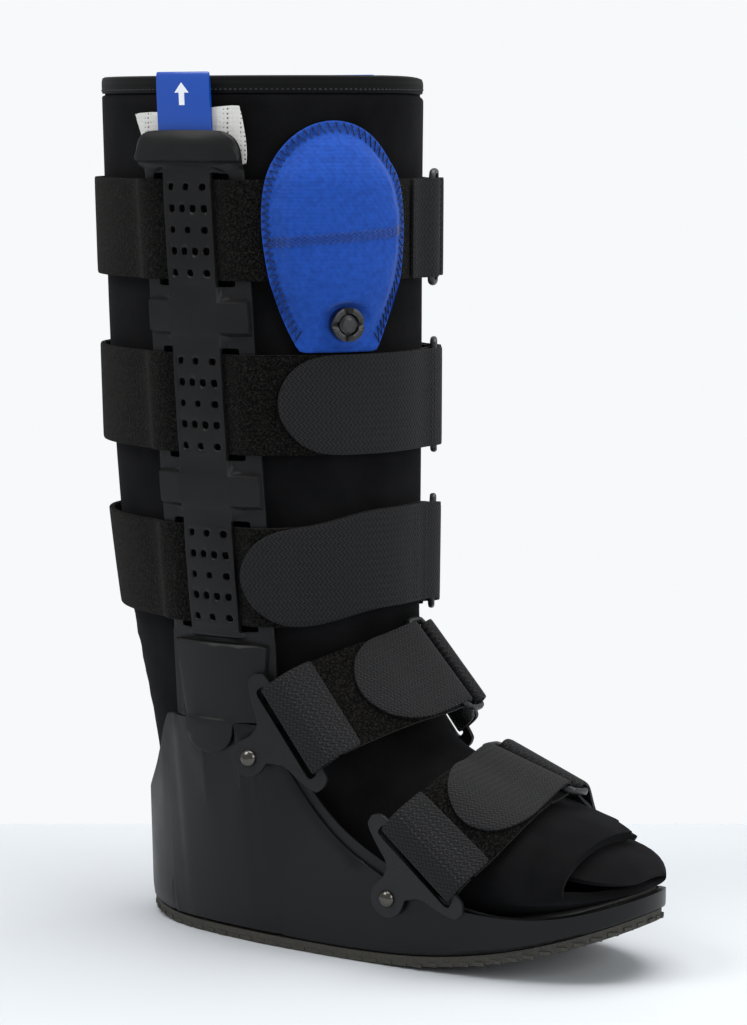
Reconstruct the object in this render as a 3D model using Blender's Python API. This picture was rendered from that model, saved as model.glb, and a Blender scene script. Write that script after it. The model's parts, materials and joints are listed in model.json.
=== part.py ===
"""Tall pneumatic walker boot: rigid rocker shell, two uprights, padded liner, straps and pump pouch.

The origin is on the floor under the uprights. X points to the toe, Y to the far side and Z up.
Sizes are in millimetres and are turned into metres when a mesh is made.
"""
import bpy
import bmesh
import numpy as np
from math import cos, degrees, hypot, pi, radians, sin, sqrt
from mathutils import Vector
from mathutils.bvhtree import BVHTree
from mathutils.geometry import delaunay_2d_cdt

MM = 0.001

# Overall sizes
BOOT_HEIGHT = 431.0        # floor to the liner's top edge
LEG_WIDTH = 138.0          # liner across the top, side to side
SOLE_LENGTH = 293.0
SOLE_WIDTH = 110.0
HEEL_REACH = 79.4          # origin back to the heel of the shell
GAP = 0.4                  # space left between pieces that touch
CURVE_SPARE = 0.5          # extra space under flat facets that bridge a curve
STRAP_BASE = 0.7           # space between the liner and a strap that bends round it

# Liner
LINER_WALL = 7.0
LAP_ANGLE = 40.0           # how far the near edge laps past the front centre
UNDER_ANGLE = 8.0          # how far the far edge reaches back under it
LAP_CORNER = 24.0          # round of the lapped edge's top corner
TAPE_WIDTH = 7.0
TAPE_THICK = 1.0

# Shell, tread and footbed
SHELL_WALL = 3.2
SHELL_TOP = 114.0          # split line between shell and uprights
ANKLE_HALF_WIDTH = 67.0
ROCKER_START = 85.0
ROCKER_RADIUS = 300.0
HEEL_ROCK_START = -35.0
HEEL_ROCK_RADIUS = 200.0
TREAD_THICK = 5.0
FLOOR_THICK = 3.0
FOOTBED_THICK = 8.0
LIP_HEIGHT = 7.0
PANEL_RISE = 1.2

# Uprights
UPRIGHT_TOP = 406.0
UPRIGHT_HALF_WIDTH = 29.5
UPRIGHT_LEAN = 0.049       # backward lean, run over rise
UPRIGHT_FOOT = 195.0       # height where the lean crosses the origin line
RAIL_THICK = 3.5
RAIL_INNER = 21.8
BRIDGE_HALF_WIDTH = 13.5
BRIDGE_THICK = 2.7
WINDOW_HEIGHT = 55.0
WINDOW_PITCH = 85.0
LOW_WINDOW_BASE = 160.0
HOLE_SIZE = 3.8
HOLE_PITCH = 10.4
HOLE_SPREAD_3 = 8.9
HOLE_SPREAD_4 = 7.4
PAD_RISE = 3.4
HEAD_RISE = 6.6
BLOCK_STEP = 1.6           # the lower block's panel stands this far above its sides
TONGUE_HALF_WIDTH = 15.0
TONGUE_DROP = 17.0
TONGUE_SHIFT = -7.5        # the tongue sits behind the upright's middle line
TONGUE_THICK = 1.7

# Straps and rings
STRAP_WIDTH = 49.0
BAND_THICK = 3.0
WEB_THICK = 1.7
RING_BAR = 2.3             # bar radius
RING_SPAN = 16.0           # bar centre to bar centre
RING_MARGIN = 1.2          # strap edge to ring end

# Swivel plates and rivets
PLATE_THICK = 2.0
SLOT_HALF = 26.0
SLOT_WIDTH = 5.0
FRONT_BAR = 4.0
PLATE_EYE = 10.0
RIVET_HEAD = 4.9
RIVET_SHAFT = 2.2

# Pouch and valve
POUCH_CENTRE = 69.7
POUCH_TOP = 411.0
POUCH_HEIGHT = 113.0
POUCH_WIDTH = 67.6
POUCH_FLANGE = 5.0
POUCH_EDGE_THICK = 1.2
POUCH_RISE = 11.0
VALVE_ALONG = 71.0
VALVE_RISE = 14.0          # above the pouch's lower edge
VALVE_RADIUS = 8.5
VALVE_TALL = 5.5
BUTTON_RADIUS = 5.0

# Pull tabs and mesh sleeves
TAB_WIDTH = 31.0
TAB_TOP = 434.0
TAB_THICK = 0.9
SLEEVE_THICK = 0.9
SLEEVE_BASE = GAP + 0.5
TAB_BACK = SLEEVE_BASE + SLEEVE_THICK + 0.6 + TAB_THICK / 2
TAB_FRONT = TAB_BACK + TAB_THICK + GAP
SLEEVE_RISE = 11.0         # above the uprights' heads

# Liner sections from the leg top down to the heel and forward to the toe. Each runs from a back
# (later bottom) point to a front (later top) point. x is a share of SOLE_LENGTH, z of BOOT_HEIGHT,
# half_width of LEG_WIDTH, widest a share of the section's own depth, wall a share of LINER_WALL.
LINER_COLUMNS = ("back_x", "back_z", "front_x", "front_z", "half_width", "widest", "back_power", "wall")
LINER_ROWS = {
    "leg_top":     (-0.372, 1.000, 0.235, 1.000, 0.500, 0.547, 2.0, 1.0),
    "under_edge":  (-0.371, 0.975, 0.234, 0.975, 0.500, 0.549, 2.0, 1.0),
    "upper_calf":  (-0.367, 0.863, 0.230, 0.863, 0.500, 0.564, 2.0, 1.0),
    "mid_calf":    (-0.362, 0.696, 0.229, 0.696, 0.489, 0.583, 2.0, 1.0),
    "low_calf":    (-0.357, 0.557, 0.229, 0.557, 0.478, 0.597, 2.0, 1.0),
    "shin":        (-0.329, 0.406, 0.227, 0.406, 0.459, 0.598, 2.0, 1.0),
    "ankle":       (-0.317, 0.366, 0.227, 0.366, 0.450, 0.594, 2.0, 1.0),
    "bend_high":   (-0.280, 0.274, 0.243, 0.325, 0.436, 0.560, 2.1, 1.0),
    "bend_low":    (-0.253, 0.204, 0.270, 0.285, 0.420, 0.530, 2.2, 1.0),
    "heel_high":   (-0.239, 0.135, 0.297, 0.260, 0.405, 0.500, 2.3, 1.0),
    "heel_low":    (-0.205, 0.065, 0.318, 0.247, 0.386, 0.470, 2.5, 1.0),
    "heel_seat":   (-0.120, 0.040, 0.341, 0.237, 0.374, 0.450, 2.7, 1.0),
    "arch":        (0.040, 0.040, 0.375, 0.224, 0.364, 0.440, 2.8, 1.0),
    "waist":       (0.190, 0.040, 0.423, 0.211, 0.357, 0.430, 2.8, 1.0),
    "tread_line":  (0.335, 0.041, 0.478, 0.198, 0.353, 0.420, 2.8, 1.0),
    "ball":        (0.455, 0.050, 0.530, 0.186, 0.350, 0.420, 2.8, 1.0),
    "toe_joint":   (0.560, 0.064, 0.590, 0.176, 0.345, 0.410, 2.8, 1.0),
    "toes":        (0.640, 0.081, 0.648, 0.156, 0.325, 0.400, 2.6, 0.9),
    "toe_slope":   (0.690, 0.092, 0.694, 0.136, 0.250, 0.420, 2.4, 0.55),
    "toe_tip":     (0.722, 0.100, 0.724, 0.116, 0.110, 0.450, 2.0, 0.34),
}
NEAR_FLAP_END = "toes"     # the near flap stops here, the sole and far side run on to the tip

# Shell rim: x as a share of SOLE_LENGTH from the origin, height as a share of SHELL_TOP
RIM_COLUMNS = ("x", "height")
RIM_ROWS = ((-0.271, 0.545), (-0.240, 0.580), (-0.205, 0.660), (-0.171, 0.760), (-0.150, 0.850),
            (-0.137, 0.940), (-0.123, 0.992), (-0.105, 1.000), (0.082, 1.000), (0.098, 0.960),
            (0.125, 0.835), (0.160, 0.697), (0.195, 0.605), (0.228, 0.530), (0.304, 0.406),
            (0.379, 0.325), (0.457, 0.288), (0.529, 0.268), (0.590, 0.275), (0.642, 0.295),
            (0.683, 0.325), (0.710, 0.350), (0.729, 0.362))

# Foot straps: slot middle (x, z), how far the strap drifts to the toe on top, slope of the slot
# and of the strap's width on top (degrees below level), ring place and tab end (degrees round),
# and how far out the strap runs beside the plates
STRAP_COLUMNS = ("slot_x", "slot_z", "drift", "slot_slope", "top_slope", "ring_turn", "tab_turn",
                 "side_reach")
FOOT_STRAPS = {
    "instep":   (45.0, 112.7, 13.0, 51.4, 47.0, 104.0, 34.0, 62.5),
    "forefoot": (115.3, 53.4, 12.0, 39.0, 17.0, 106.0, 30.0, 56.0),
}


def smooth(x, a, b):
    t = np.clip((np.asarray(x, float) - a) / (b - a), 0.0, 1.0)
    return t * t * (3.0 - 2.0 * t)


def rows_at(rows, t):
    """Catmull-Rom through table rows at row number t (array), clamped at the ends."""
    rows = np.asarray(rows, float)
    t = np.clip(np.asarray(t, float), 0, len(rows) - 1)
    i = np.minimum(t.astype(int), len(rows) - 2)
    f = (t - i)[..., None]
    p0, p1 = rows[np.maximum(i - 1, 0)], rows[i]
    p2, p3 = rows[i + 1], rows[np.minimum(i + 2, len(rows) - 1)]
    return 0.5 * (2 * p1 + (p2 - p0) * f + (2 * p0 - 5 * p1 + 4 * p2 - p3) * f ** 2
                  + (3 * p1 - p0 - 3 * p2 + p3) * f ** 3)


def new_object(name, points, faces, colour, roughness, metallic=0.0):
    """One named mesh object with its own plain material, faces turned outwards."""
    mesh = bpy.data.meshes.new(name)
    mesh.from_pydata([tuple(float(c) * MM for c in p) for p in points], [], faces)
    work = bmesh.new()
    work.from_mesh(mesh)
    bmesh.ops.remove_doubles(work, verts=work.verts, dist=0.00001)
    bmesh.ops.dissolve_degenerate(work, edges=work.edges, dist=0.00001)
    bmesh.ops.recalc_face_normals(work, faces=work.faces)
    work.to_mesh(mesh)
    work.free()
    material = bpy.data.materials.new(name)
    material.use_nodes = True
    shader = material.node_tree.nodes["Principled BSDF"]
    shader.inputs["Base Color"].default_value = (*colour, 1.0)
    shader.inputs["Roughness"].default_value = roughness
    shader.inputs["Metallic"].default_value = metallic
    mesh.materials.append(material)
    item = bpy.data.objects.new(name, mesh)
    bpy.context.scene.collection.objects.link(item)
    return item


def mirrored(source, name):
    """A copy on the far side of the boot."""
    points = [(v.co.x / MM, -v.co.y / MM, v.co.z / MM) for v in source.data.vertices]
    faces = [tuple(reversed(p.vertices)) for p in source.data.polygons]
    shader = source.data.materials[0].node_tree.nodes["Principled BSDF"]
    colour = tuple(shader.inputs["Base Color"].default_value)[:3]
    return new_object(name, points, faces, colour, shader.inputs["Roughness"].default_value,
                      shader.inputs["Metallic"].default_value)


def tube_faces(rings, count, start=0, close=False):
    """Quads between successive rings of count points, with caps unless the rings close."""
    faces = []
    for r in range(rings if close else rings - 1):
        a, b = start + r * count, start + (r + 1) % rings * count
        faces += [(a + k, a + (k + 1) % count, b + (k + 1) % count, b + k) for k in range(count)]
    if not close:
        faces.append(tuple(range(start, start + count)))
        faces.append(tuple(range(start + (rings - 1) * count, start + rings * count)))
    return faces


def inside(point, loop):
    """Even-odd test of a point in a closed loop."""
    x, y = point
    hit = False
    for (x1, y1), (x2, y2) in zip(loop, loop[1:] + loop[:1]):
        if (y1 > y) != (y2 > y) and x < (x2 - x1) * (y - y1) / (y2 - y1) + x1:
            hit = not hit
    return hit


def plate(name, outline, holes, top, bottom, look, lines=(), dots=()):
    """A solid between two height fields over a flat outline with holes.

    lines are open or closed lists of points kept as edges, dots are extra inner points.
    """
    flat, edges = [], []
    for loop in [outline] + list(holes):
        base = len(flat)
        flat += loop
        edges += [(base + k, base + (k + 1) % len(loop)) for k in range(len(loop))]
    for line in lines:
        base = len(flat)
        flat += line
        edges += [(base + k, base + k + 1) for k in range(len(line) - 1)]
    flat += list(dots)
    spots, _, triangles, *_ = delaunay_2d_cdt([Vector(p) for p in flat], edges, [], 0, 1e-5)
    kept = []
    for tri in triangles:
        middle = sum((spots[k] for k in tri), Vector((0, 0))) / len(tri)
        if inside(middle, outline) and not any(inside(middle, hole) for hole in holes):
            kept.append(tuple(tri))
    used = sorted({k for tri in kept for k in tri})
    place = {k: n for n, k in enumerate(used)}
    kept = [tuple(place[k] for k in tri) for tri in kept]
    upper = [top(*spots[k]) for k in used]
    lower = [bottom(*spots[k]) for k in used]
    count = len(used)
    sides = {}
    for tri in kept:
        for a, b in zip(tri, tri[1:] + tri[:1]):
            sides[(a, b)] = True
    walls = [(b, a, a + count, b + count) for a, b in sides if (b, a) not in sides]
    faces = kept + [tuple(k + count for k in reversed(tri)) for tri in kept] + walls
    return new_object(name, upper + lower, faces, *look)


# Liner surface

ROW_NAMES = list(LINER_ROWS)
SIZE_OF_COLUMN = np.array((SOLE_LENGTH, BOOT_HEIGHT, SOLE_LENGTH, BOOT_HEIGHT, LEG_WIDTH, 1.0, 1.0,
                           LINER_WALL))
LINER_TABLE = np.array(list(LINER_ROWS.values())) * SIZE_OF_COLUMN


def sole_drop(x):
    """Height of the tread's underside above the floor."""
    x = np.asarray(x, float)
    toe = np.maximum(x - ROCKER_START, 0.0) ** 2 / (2 * ROCKER_RADIUS)
    heel = np.maximum(HEEL_ROCK_START - x, 0.0) ** 2 / (2 * HEEL_ROCK_RADIUS)
    return toe + heel


SOLE_POWER = 2.6
SOLE_MIDDLE = SOLE_LENGTH / 2 - HEEL_REACH
FLOOR_TOP = TREAD_THICK + GAP + FLOOR_THICK
LINER_BASE = FLOOR_TOP + GAP + FOOTBED_THICK + GAP


def shell_half_width(x, z, inset=0.0):
    """Half width of the shell at x and height z, inset inwards from its outer face."""
    x, z = np.asarray(x, float), np.asarray(z, float)
    share = np.clip(np.abs(x - SOLE_MIDDLE) / (SOLE_LENGTH / 2 - inset), 0.0, 1.0)
    flare = 8.0 * np.clip(z / SHELL_TOP, 0.0, 1.2)
    low = (SOLE_WIDTH / 2 + flare - inset) * (1.0 - share ** SOLE_POWER) ** (1.0 / SOLE_POWER)
    ankle = ANKLE_HALF_WIDTH - inset - x ** 2 / 150.0
    blend = smooth(z, 25.0, SHELL_TOP) * smooth(x, -72.0, -42.0) * (1.0 - smooth(x, 32.0, 75.0))
    panel = PANEL_RISE * smooth(x, -31.0, -28.0) * (1.0 - smooth(x, 14.5, 18.0)) * (inset < 0.5)
    return low + (ankle - low) * blend + panel * smooth(z, 18.0, 24.0)


def rim_height(x):
    rows = np.array(RIM_ROWS)
    return np.interp(x, rows[:, 0] * SOLE_LENGTH, rows[:, 1] * SHELL_TOP)


def lip_height(x):
    """The thin inner lip stands above the rim along its sloping front part."""
    return 0.2 + LIP_HEIGHT * smooth(x, 32.0, 45.0) * (1.0 - smooth(x, 105.0, 135.0))


def liner_point(t, turn):
    """Outer face of the liner. turn is in degrees: 0 front or top, 90 near side, 180 back."""
    t, turn = np.broadcast_arrays(np.asarray(t, float), np.asarray(turn, float))
    row = rows_at(LINER_TABLE, t)
    c, s = np.cos(np.radians(turn)), np.sin(np.radians(turn))
    power = np.where(c < 0, row[..., 6], 2.0)
    c = np.sign(c) * np.abs(c) ** (2.0 / power)
    s = np.sign(s) * np.abs(s) ** (2.0 / power)
    share = row[..., 5] + np.where(c > 0, (1.0 - row[..., 5]) * c, row[..., 5] * c)
    x = row[..., 0] + (row[..., 2] - row[..., 0]) * share
    z = row[..., 1] + (row[..., 3] - row[..., 1]) * share
    y = -row[..., 4] * s
    z = np.maximum(z, sole_drop(x) + LINER_BASE)
    limit = shell_half_width(x, z, SHELL_WALL + GAP)
    held = (z < rim_height(x) + lip_height(x) + 1.0) & (t > ROW_NAMES.index("bend_high"))
    y = np.where(held, np.clip(y, -limit, limit), y)
    return np.stack((x, y, z), axis=-1)


def liner_normal(t, turn):
    along = liner_point(np.minimum(t + 0.02, len(ROW_NAMES) - 1), turn) - liner_point(
        np.maximum(t - 0.02, 0), turn)
    round_ = liner_point(t, turn + 1.5) - liner_point(t, turn - 1.5)
    n = np.cross(round_, along)
    return n / np.maximum(np.linalg.norm(n, axis=-1, keepdims=True), 1e-9)


# The leg as a wrap: along is the distance round from the near upright, positive to the front

TALL_T = np.linspace(0, ROW_NAMES.index("bend_low"), 160)
TALL = rows_at(LINER_TABLE, TALL_T)
SIDE_Z = TALL[:, 1] + (TALL[:, 3] - TALL[:, 1]) * TALL[:, 5]


def leg_curve(z):
    """Section of the leg at height z: points, distance round, both lengths between uprights."""
    order = np.argsort(SIDE_Z)
    back = np.interp(z, np.sort(TALL[:, 1]), TALL[np.argsort(TALL[:, 1]), 0])
    front = np.interp(z, np.sort(TALL[:, 3]), TALL[np.argsort(TALL[:, 3]), 2])
    half = np.interp(z, SIDE_Z[order], TALL[order, 4])
    side = -(z - UPRIGHT_FOOT) * UPRIGHT_LEAN
    angle = np.radians(np.linspace(90.0, -270.0, 721))
    c = np.cos(angle)
    x = side + np.where(c >= 0, (front - side) * c, (side - back) * c)
    y = -half * np.sin(angle)
    run = np.concatenate(([0.0], np.cumsum(np.hypot(np.diff(x), np.diff(y)))))
    return x, y, run, run[360], run[-1] - run[360]


LEG_CACHE = {}
ANCHOR = 40.0
REF_HEIGHT = 272.5


def leg_wrap(along, z, out):
    """Point at a distance round the leg, at height z, out from the liner's face."""
    key = round(float(z), 3)
    if key not in LEG_CACHE:
        LEG_CACHE[key] = leg_curve(key)
    x, y, run, front, back = LEG_CACHE[key]
    ref = LEG_CACHE.setdefault(REF_HEIGHT, leg_curve(REF_HEIGHT))
    marks = [edge + shift for edge in (-ref[4] - ref[3], -ref[4], 0.0, ref[3])
             for shift in (-ANCHOR, ANCHOR)]
    place = [edge + shift for edge in (-back - front, -back, 0.0, front) for shift in (-ANCHOR, ANCHOR)]
    s = np.interp(along, marks, place) % run[-1]
    px, py = np.interp(s, run, x), np.interp(s, run, y)
    ax, ay = np.interp((s + 2.0) % run[-1], run, x), np.interp((s + 2.0) % run[-1], run, y)
    bx, by = np.interp((s - 2.0) % run[-1], run, x), np.interp((s - 2.0) % run[-1], run, y)
    length = hypot(ax - bx, ay - by)
    return np.array((px + (ay - by) / length * out, py - (ax - bx) / length * out, z))


# The foot as a wrap: a strap's path over the liner, with straight lines across its width


class FootWrap:
    def __init__(self, slot_x, slot_z, drift, slot_slope, top_slope, ring_turn, tab_turn,
                 side_reach, tree):
        turns = np.linspace(-40.0, 220.0, 131)
        ease = smooth(turns, 12.0, 78.0) * (1.0 - smooth(turns, 102.0, 168.0))
        slope = np.radians(slot_slope + (top_slope - slot_slope) * ease)
        self.across = np.stack((-np.cos(slope), 0 * slope, np.sin(slope)), axis=-1)
        up = np.stack((np.sin(slope), 0 * slope, np.cos(slope)), axis=-1)
        centre = np.array((slot_x, 0.0, slot_z)) + np.outer(drift * ease, (1.0, 0.0, 0.0))
        ray = -np.cos(np.radians(turns))[:, None] * np.array((0, 1.0, 0)) + np.sin(
            np.radians(turns))[:, None] * up
        reach = np.zeros(len(turns))
        for k in range(len(turns)):
            for w in np.linspace(-STRAP_WIDTH / 2, STRAP_WIDTH / 2, 7):
                start = centre[k] + self.across[k] * w
                hit = tree.ray_cast(Vector(start + ray[k] * 140.0), Vector(-ray[k]))
                if hit[0] is not None:
                    reach[k] = max(reach[k], 140.0 - hit[3])
        beside = np.minimum(np.abs(turns), np.abs(180.0 - turns))
        reach = np.maximum(reach, side_reach / np.maximum(np.cos(np.radians(beside)), 0.5)
                           * (beside < 14.0))
        # Pull the path tight: the outer hull of the section seen along the strap's width
        flat = np.stack((-np.cos(np.radians(turns)) * reach, np.sin(np.radians(turns)) * reach), -1)
        keep = []
        for k in range(len(turns)):
            while len(keep) > 1:
                a, b = flat[keep[-2]], flat[keep[-1]]
                if (b[0] - a[0]) * (flat[k][1] - a[1]) - (b[1] - a[1]) * (flat[k][0] - a[0]) < 0:
                    break
                keep.pop()
            keep.append(k)
        for k in range(len(turns)):
            n = np.searchsorted(keep, k)
            if keep[min(n, len(keep) - 1)] != k and n > 0:
                a, b = flat[keep[n - 1]], flat[keep[n]]
                d = np.array((-cos(radians(turns[k])), sin(radians(turns[k]))))
                e = b - a
                reach[k] = (a[0] * e[1] - a[1] * e[0]) / (d[0] * e[1] - d[1] * e[0])
        for _ in range(3):
            reach[1:-1] = np.maximum(reach[1:-1], (reach[:-2] + 2 * reach[1:-1] + reach[2:]) / 4)
        self.path = centre + ray * reach[:, None]
        step = np.gradient(self.path, axis=0)
        normal = np.cross(step, self.across)
        self.normal = normal / np.linalg.norm(normal, axis=-1, keepdims=True)
        run = np.concatenate(([0.0], np.cumsum(np.linalg.norm(np.diff(self.path, axis=0), axis=-1))))
        self.run = run - np.interp(0.0, turns, run)
        self.turns = turns
        self.ring = float(np.interp(ring_turn, turns, self.run))
        self.tab = float(np.interp(tab_turn, turns, self.run))
        self.end = float(np.interp(180.0, turns, self.run))

    def at(self, rows, along):
        return np.array([np.interp(along, self.run, rows[:, k]) for k in range(3)])

    def __call__(self, along, across, out):
        return self.at(self.path, along) + self.at(self.across, along) * across + self.at(
            self.normal, along) * out


def ribbon(name, wrap, path, thick, look, half_width=STRAP_WIDTH / 2, across=2, round_end=False,
           round_start=False):
    """A strap of one thickness along a path of (along, out) points, extruded across its width."""
    path = [np.array(p, float) for p in path]
    points, rings = [], len(path)
    lengths = np.concatenate(([0.0], np.cumsum([np.linalg.norm(b - a) for a, b in
                                                zip(path, path[1:])])))
    for k, here in enumerate(path):
        before = here - path[k - 1] if k else path[1] - here
        after = path[k + 1] - here if k < rings - 1 else here - path[k - 1]
        before, after = before / np.linalg.norm(before), after / np.linalg.norm(after)
        n = np.array((-(before + after)[1], (before + after)[0]))
        n = n / np.linalg.norm(n)
        n = n / max(n @ np.array((-before[1], before[0])), 0.5)
        half = half_width
        for rounded, left in ((round_end, lengths[-1] - lengths[k]), (round_start, lengths[k])):
            if rounded and left < half_width:
                half = min(half, max(sqrt(max(half_width ** 2 - (half_width - left) ** 2, 0)), 3.0))
        up, down = here + n * thick / 2, here - n * thick / 2
        spread = np.linspace(-half, half, across)
        points += [wrap(up[0], w, up[1]) for w in spread]
        points += [wrap(down[0], w, down[1]) for w in spread[::-1]]
    return new_object(name, points, tube_faces(rings, 2 * across), *look)


def round_bar(bar_along, bar_out, reach, toward, steps=6):
    """Half turn of a strap's middle line round a bar, from its inner to its outer side."""
    angles = np.linspace(-pi / 2, pi / 2, steps + 1)
    return [(bar_along + toward * cos(a) * reach, bar_out + sin(a) * reach) for a in angles]


def ring(name, wrap, middle, out, look, half_width=STRAP_WIDTH / 2 + RING_MARGIN + RING_BAR,
         sides=4):
    """A rectangular ring with round corners, two of its bars across the strap."""
    corner, points = 3.0, []
    path = []
    for sa, sw, first in ((1, 1, 0), (-1, 1, 90), (-1, -1, 180), (1, -1, 270)):
        for a in (12, 78):
            angle = radians(first + a)
            path.append((middle + sa * (RING_SPAN / 2 - corner) + corner * cos(angle),
                         sw * (half_width - corner) + corner * sin(angle)))
    centres = [wrap(a, w, out) for a, w in path]
    for k, here in enumerate(centres):
        forward = centres[(k + 1) % len(path)] - centres[k - 1]
        forward = forward / np.linalg.norm(forward)
        outward = wrap(path[k][0], path[k][1], out + 1.0) - here
        outward = outward - forward * (outward @ forward)
        outward = outward / np.linalg.norm(outward)
        side = np.cross(forward, outward)
        for m in range(sides):
            a = 2 * pi * (m + 0.5) / sides
            points.append(here + (outward * cos(a) + side * sin(a)) * RING_BAR * 1.08)
    return new_object(name, points, tube_faces(len(path), sides, close=True), *look)


def sheet_grid():
    """Row numbers and plain turns of the liner sheet's grid; edge columns are set by width."""
    fine = np.linspace(0.0, 2.0, 400)
    down = BOOT_HEIGHT - rows_at(LINER_TABLE, fine)[:, 1]
    edge = np.interp((TAPE_WIDTH + 0.7, TAPE_WIDTH + 1.4), down, fine)
    t = np.array((0.0, *edge, 1.4, 2.2, 3.4, 4.6, 5.4, 6.1, 6.8, 7.6, 8.4, 9.2, 10.4, 11.8, 13.4,
                  15.0, 16.4, 17.8, 19.0))
    turn = np.array((0, 0, 0, 0, -26, -8, 14, 38, 62, 86, 108, 130, 152, 172, 190, 210, 232,
                     256, 280, 360 - LAP_ANGLE - 17, 360 - LAP_ANGLE - 9))
    return t, turn


BLACK_CLOTH = ((0.012, 0.012, 0.013), 0.95)
BLACK_TAPE = ((0.016, 0.016, 0.018), 0.75)
FUZZY = ((0.008, 0.008, 0.009), 1.0)
WEBBING = ((0.018, 0.018, 0.020), 0.6)
PLASTIC = ((0.014, 0.014, 0.015), 0.45)
RUBBER = ((0.09, 0.085, 0.075), 0.8)
FOAM = ((0.10, 0.10, 0.085), 0.9)
DARK_METAL = ((0.035, 0.037, 0.038), 0.45, 0.6)
BRIGHT_METAL = ((0.30, 0.28, 0.24), 0.25, 1.0)
BLUE_CLOTH = ((0.010, 0.075, 0.42), 0.85)
BLUE_GLOSS = ((0.010, 0.10, 0.55), 0.25)
RING_PLASTIC = ((0.03, 0.031, 0.032), 0.4)
WHITE_MESH = ((0.62, 0.62, 0.60), 0.8)


def build_liner():
    """The padded liner as one lapped sheet, thinner under the edge tape, and the tape itself."""
    rows, turns = sheet_grid()
    last, flap_end = len(ROW_NAMES) - 1, ROW_NAMES.index(NEAR_FLAP_END)
    ease_from = flap_end - 3.0
    edge_arcs = (0.0, 3.0, TAPE_WIDTH + 0.7, TAPE_WIDTH + 1.4)
    under = np.array((0.0, 0.5, 1.0))
    plain = len(turns)
    R, C = len(rows), plain + len(under)
    lap = LINER_WALL + GAP
    t, turn, out = np.zeros((R, C)), np.zeros((R, C)), np.zeros((R, C))
    start = -LAP_ANGLE
    for r in range(R):
        for c in range(C):
            near = turns[c] if c < plain else 270.0
            end = last if c >= plain else flap_end + (last - flap_end) * float(
                smooth(max(near, 0.0), 108.0, 150.0))
            row = rows[r]
            if row > ease_from:
                row = ease_from + (row - ease_from) * (end - ease_from) / (last - ease_from)
            t[r, c] = row
        grain = np.linalg.norm(liner_point(t[r, 0], start + 1.0) - liner_point(t[r, 0], start))
        for c in range(C):
            past = 1.0 - float(smooth(t[r, c], flap_end + 0.35, flap_end + 1.0))
            if c < 4:
                turn[r, c] = start + edge_arcs[c] / max(grain, 0.45)
            elif c < plain:
                turn[r, c] = turns[c]
                out[r, c] = -lap * past * {plain - 1: 0.9, plain - 2: 0.4}.get(c, 0.0)
            else:
                reach = UNDER_ANGLE + 62.0 * float(smooth(t[r, c], flap_end - 3.0, flap_end))
                begin = 360 - LAP_ANGLE - 3.0
                turn[r, c] = begin + (360 + reach - begin) * under[c - plain]
                out[r, c] = -lap * past
    outer, normal = liner_point(t, turn % 360), liner_normal(t, turn % 360)
    wall = rows_at(LINER_TABLE, t)[..., 7]
    # round the top corner of the lapped edge
    arc = np.array([*edge_arcs] + [(a - start) * radians(1) * LEG_WIDTH / 2 for a in turns[4:]]
                   + [999.0] * len(under))
    share = np.clip(1.0 - arc / LAP_CORNER, 0.0, 1.0)
    drop = LAP_CORNER * (1.0 - np.sqrt(1.0 - share ** 2))
    outer[..., 2] -= np.clip(1.0 - rows / 2.0, 0.0, 1.0)[:, None] * drop[None, :]
    # the sheet is pressed thinner by the tape's legs along its edges
    edge = np.zeros((R, C))
    edge[:2, :] = edge[:, :3] = 1.0
    thin = edge * np.minimum(TAPE_THICK + GAP * 1.8, wall * 0.36)
    upper = outer + normal * (out - thin)[..., None]
    lower = outer + normal * (out - wall + thin)[..., None]
    points = np.concatenate((upper.reshape(-1, 3), lower.reshape(-1, 3)))
    size, faces = R * C, []
    for r in range(R - 1):
        for c in range(C - 1):
            a, b, d, e = r * C + c, r * C + c + 1, (r + 1) * C + c + 1, (r + 1) * C + c
            faces += [(a, b, d, e), (a + size, e + size, d + size, b + size)]
    border = [(0, c) for c in range(C)] + [(r, C - 1) for r in range(1, R)]
    border += [(R - 1, c) for c in range(C - 2, -1, -1)] + [(r, 0) for r in range(R - 2, 0, -1)]
    loop = [r * C + c for r, c in border]
    faces += [(b, a, a + size, b + size) for a, b in zip(loop, loop[1:] + loop[:1])]
    new_object("liner_body", points, faces, *BLACK_CLOTH)

    def tape(name, stops, step):
        """Edge tape of U section over border grid points; step leads to the grid point inside."""
        points = []
        for r, c in stops:
            r2, c2 = r + step[0], c + step[1]
            p, n, w, o = outer[r, c], normal[r, c], wall[r, c], out[r, c]
            q, m, w2, o2 = outer[r2, c2], normal[r2, c2], wall[r2, c2], out[r2, c2]
            inward = q - p
            length = np.linalg.norm(inward)
            share = min(1.0, TAPE_WIDTH / length)
            e = -inward / length
            q, m = p + inward * share, n + (m - n) * share
            w2, o2 = w + (w2 - w) * share, o + (o2 - o) * share
            leg, leg2 = (min(TAPE_THICK, x * 0.32 - 0.15) for x in (w, w2))
            tip = e * (GAP + TAPE_THICK)
            points += [q + m * (o2 - leg2), q + m * o2, p + n * o + tip, p + n * (o - w) + tip,
                       q + m * (o2 - w2), q + m * (o2 - w2 + leg2), p + n * (o - w + leg) + e * GAP,
                       p + n * (o - leg) + e * GAP]
        return new_object(name, points, tube_faces(len(stops), 8), *BLACK_TAPE)

    tape("top_binding", [(0, c) for c in range(4, C)], (1, 0))
    tape("front_binding", [(r, 0) for r in range(1, R - 1)], (0, 2))


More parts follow.
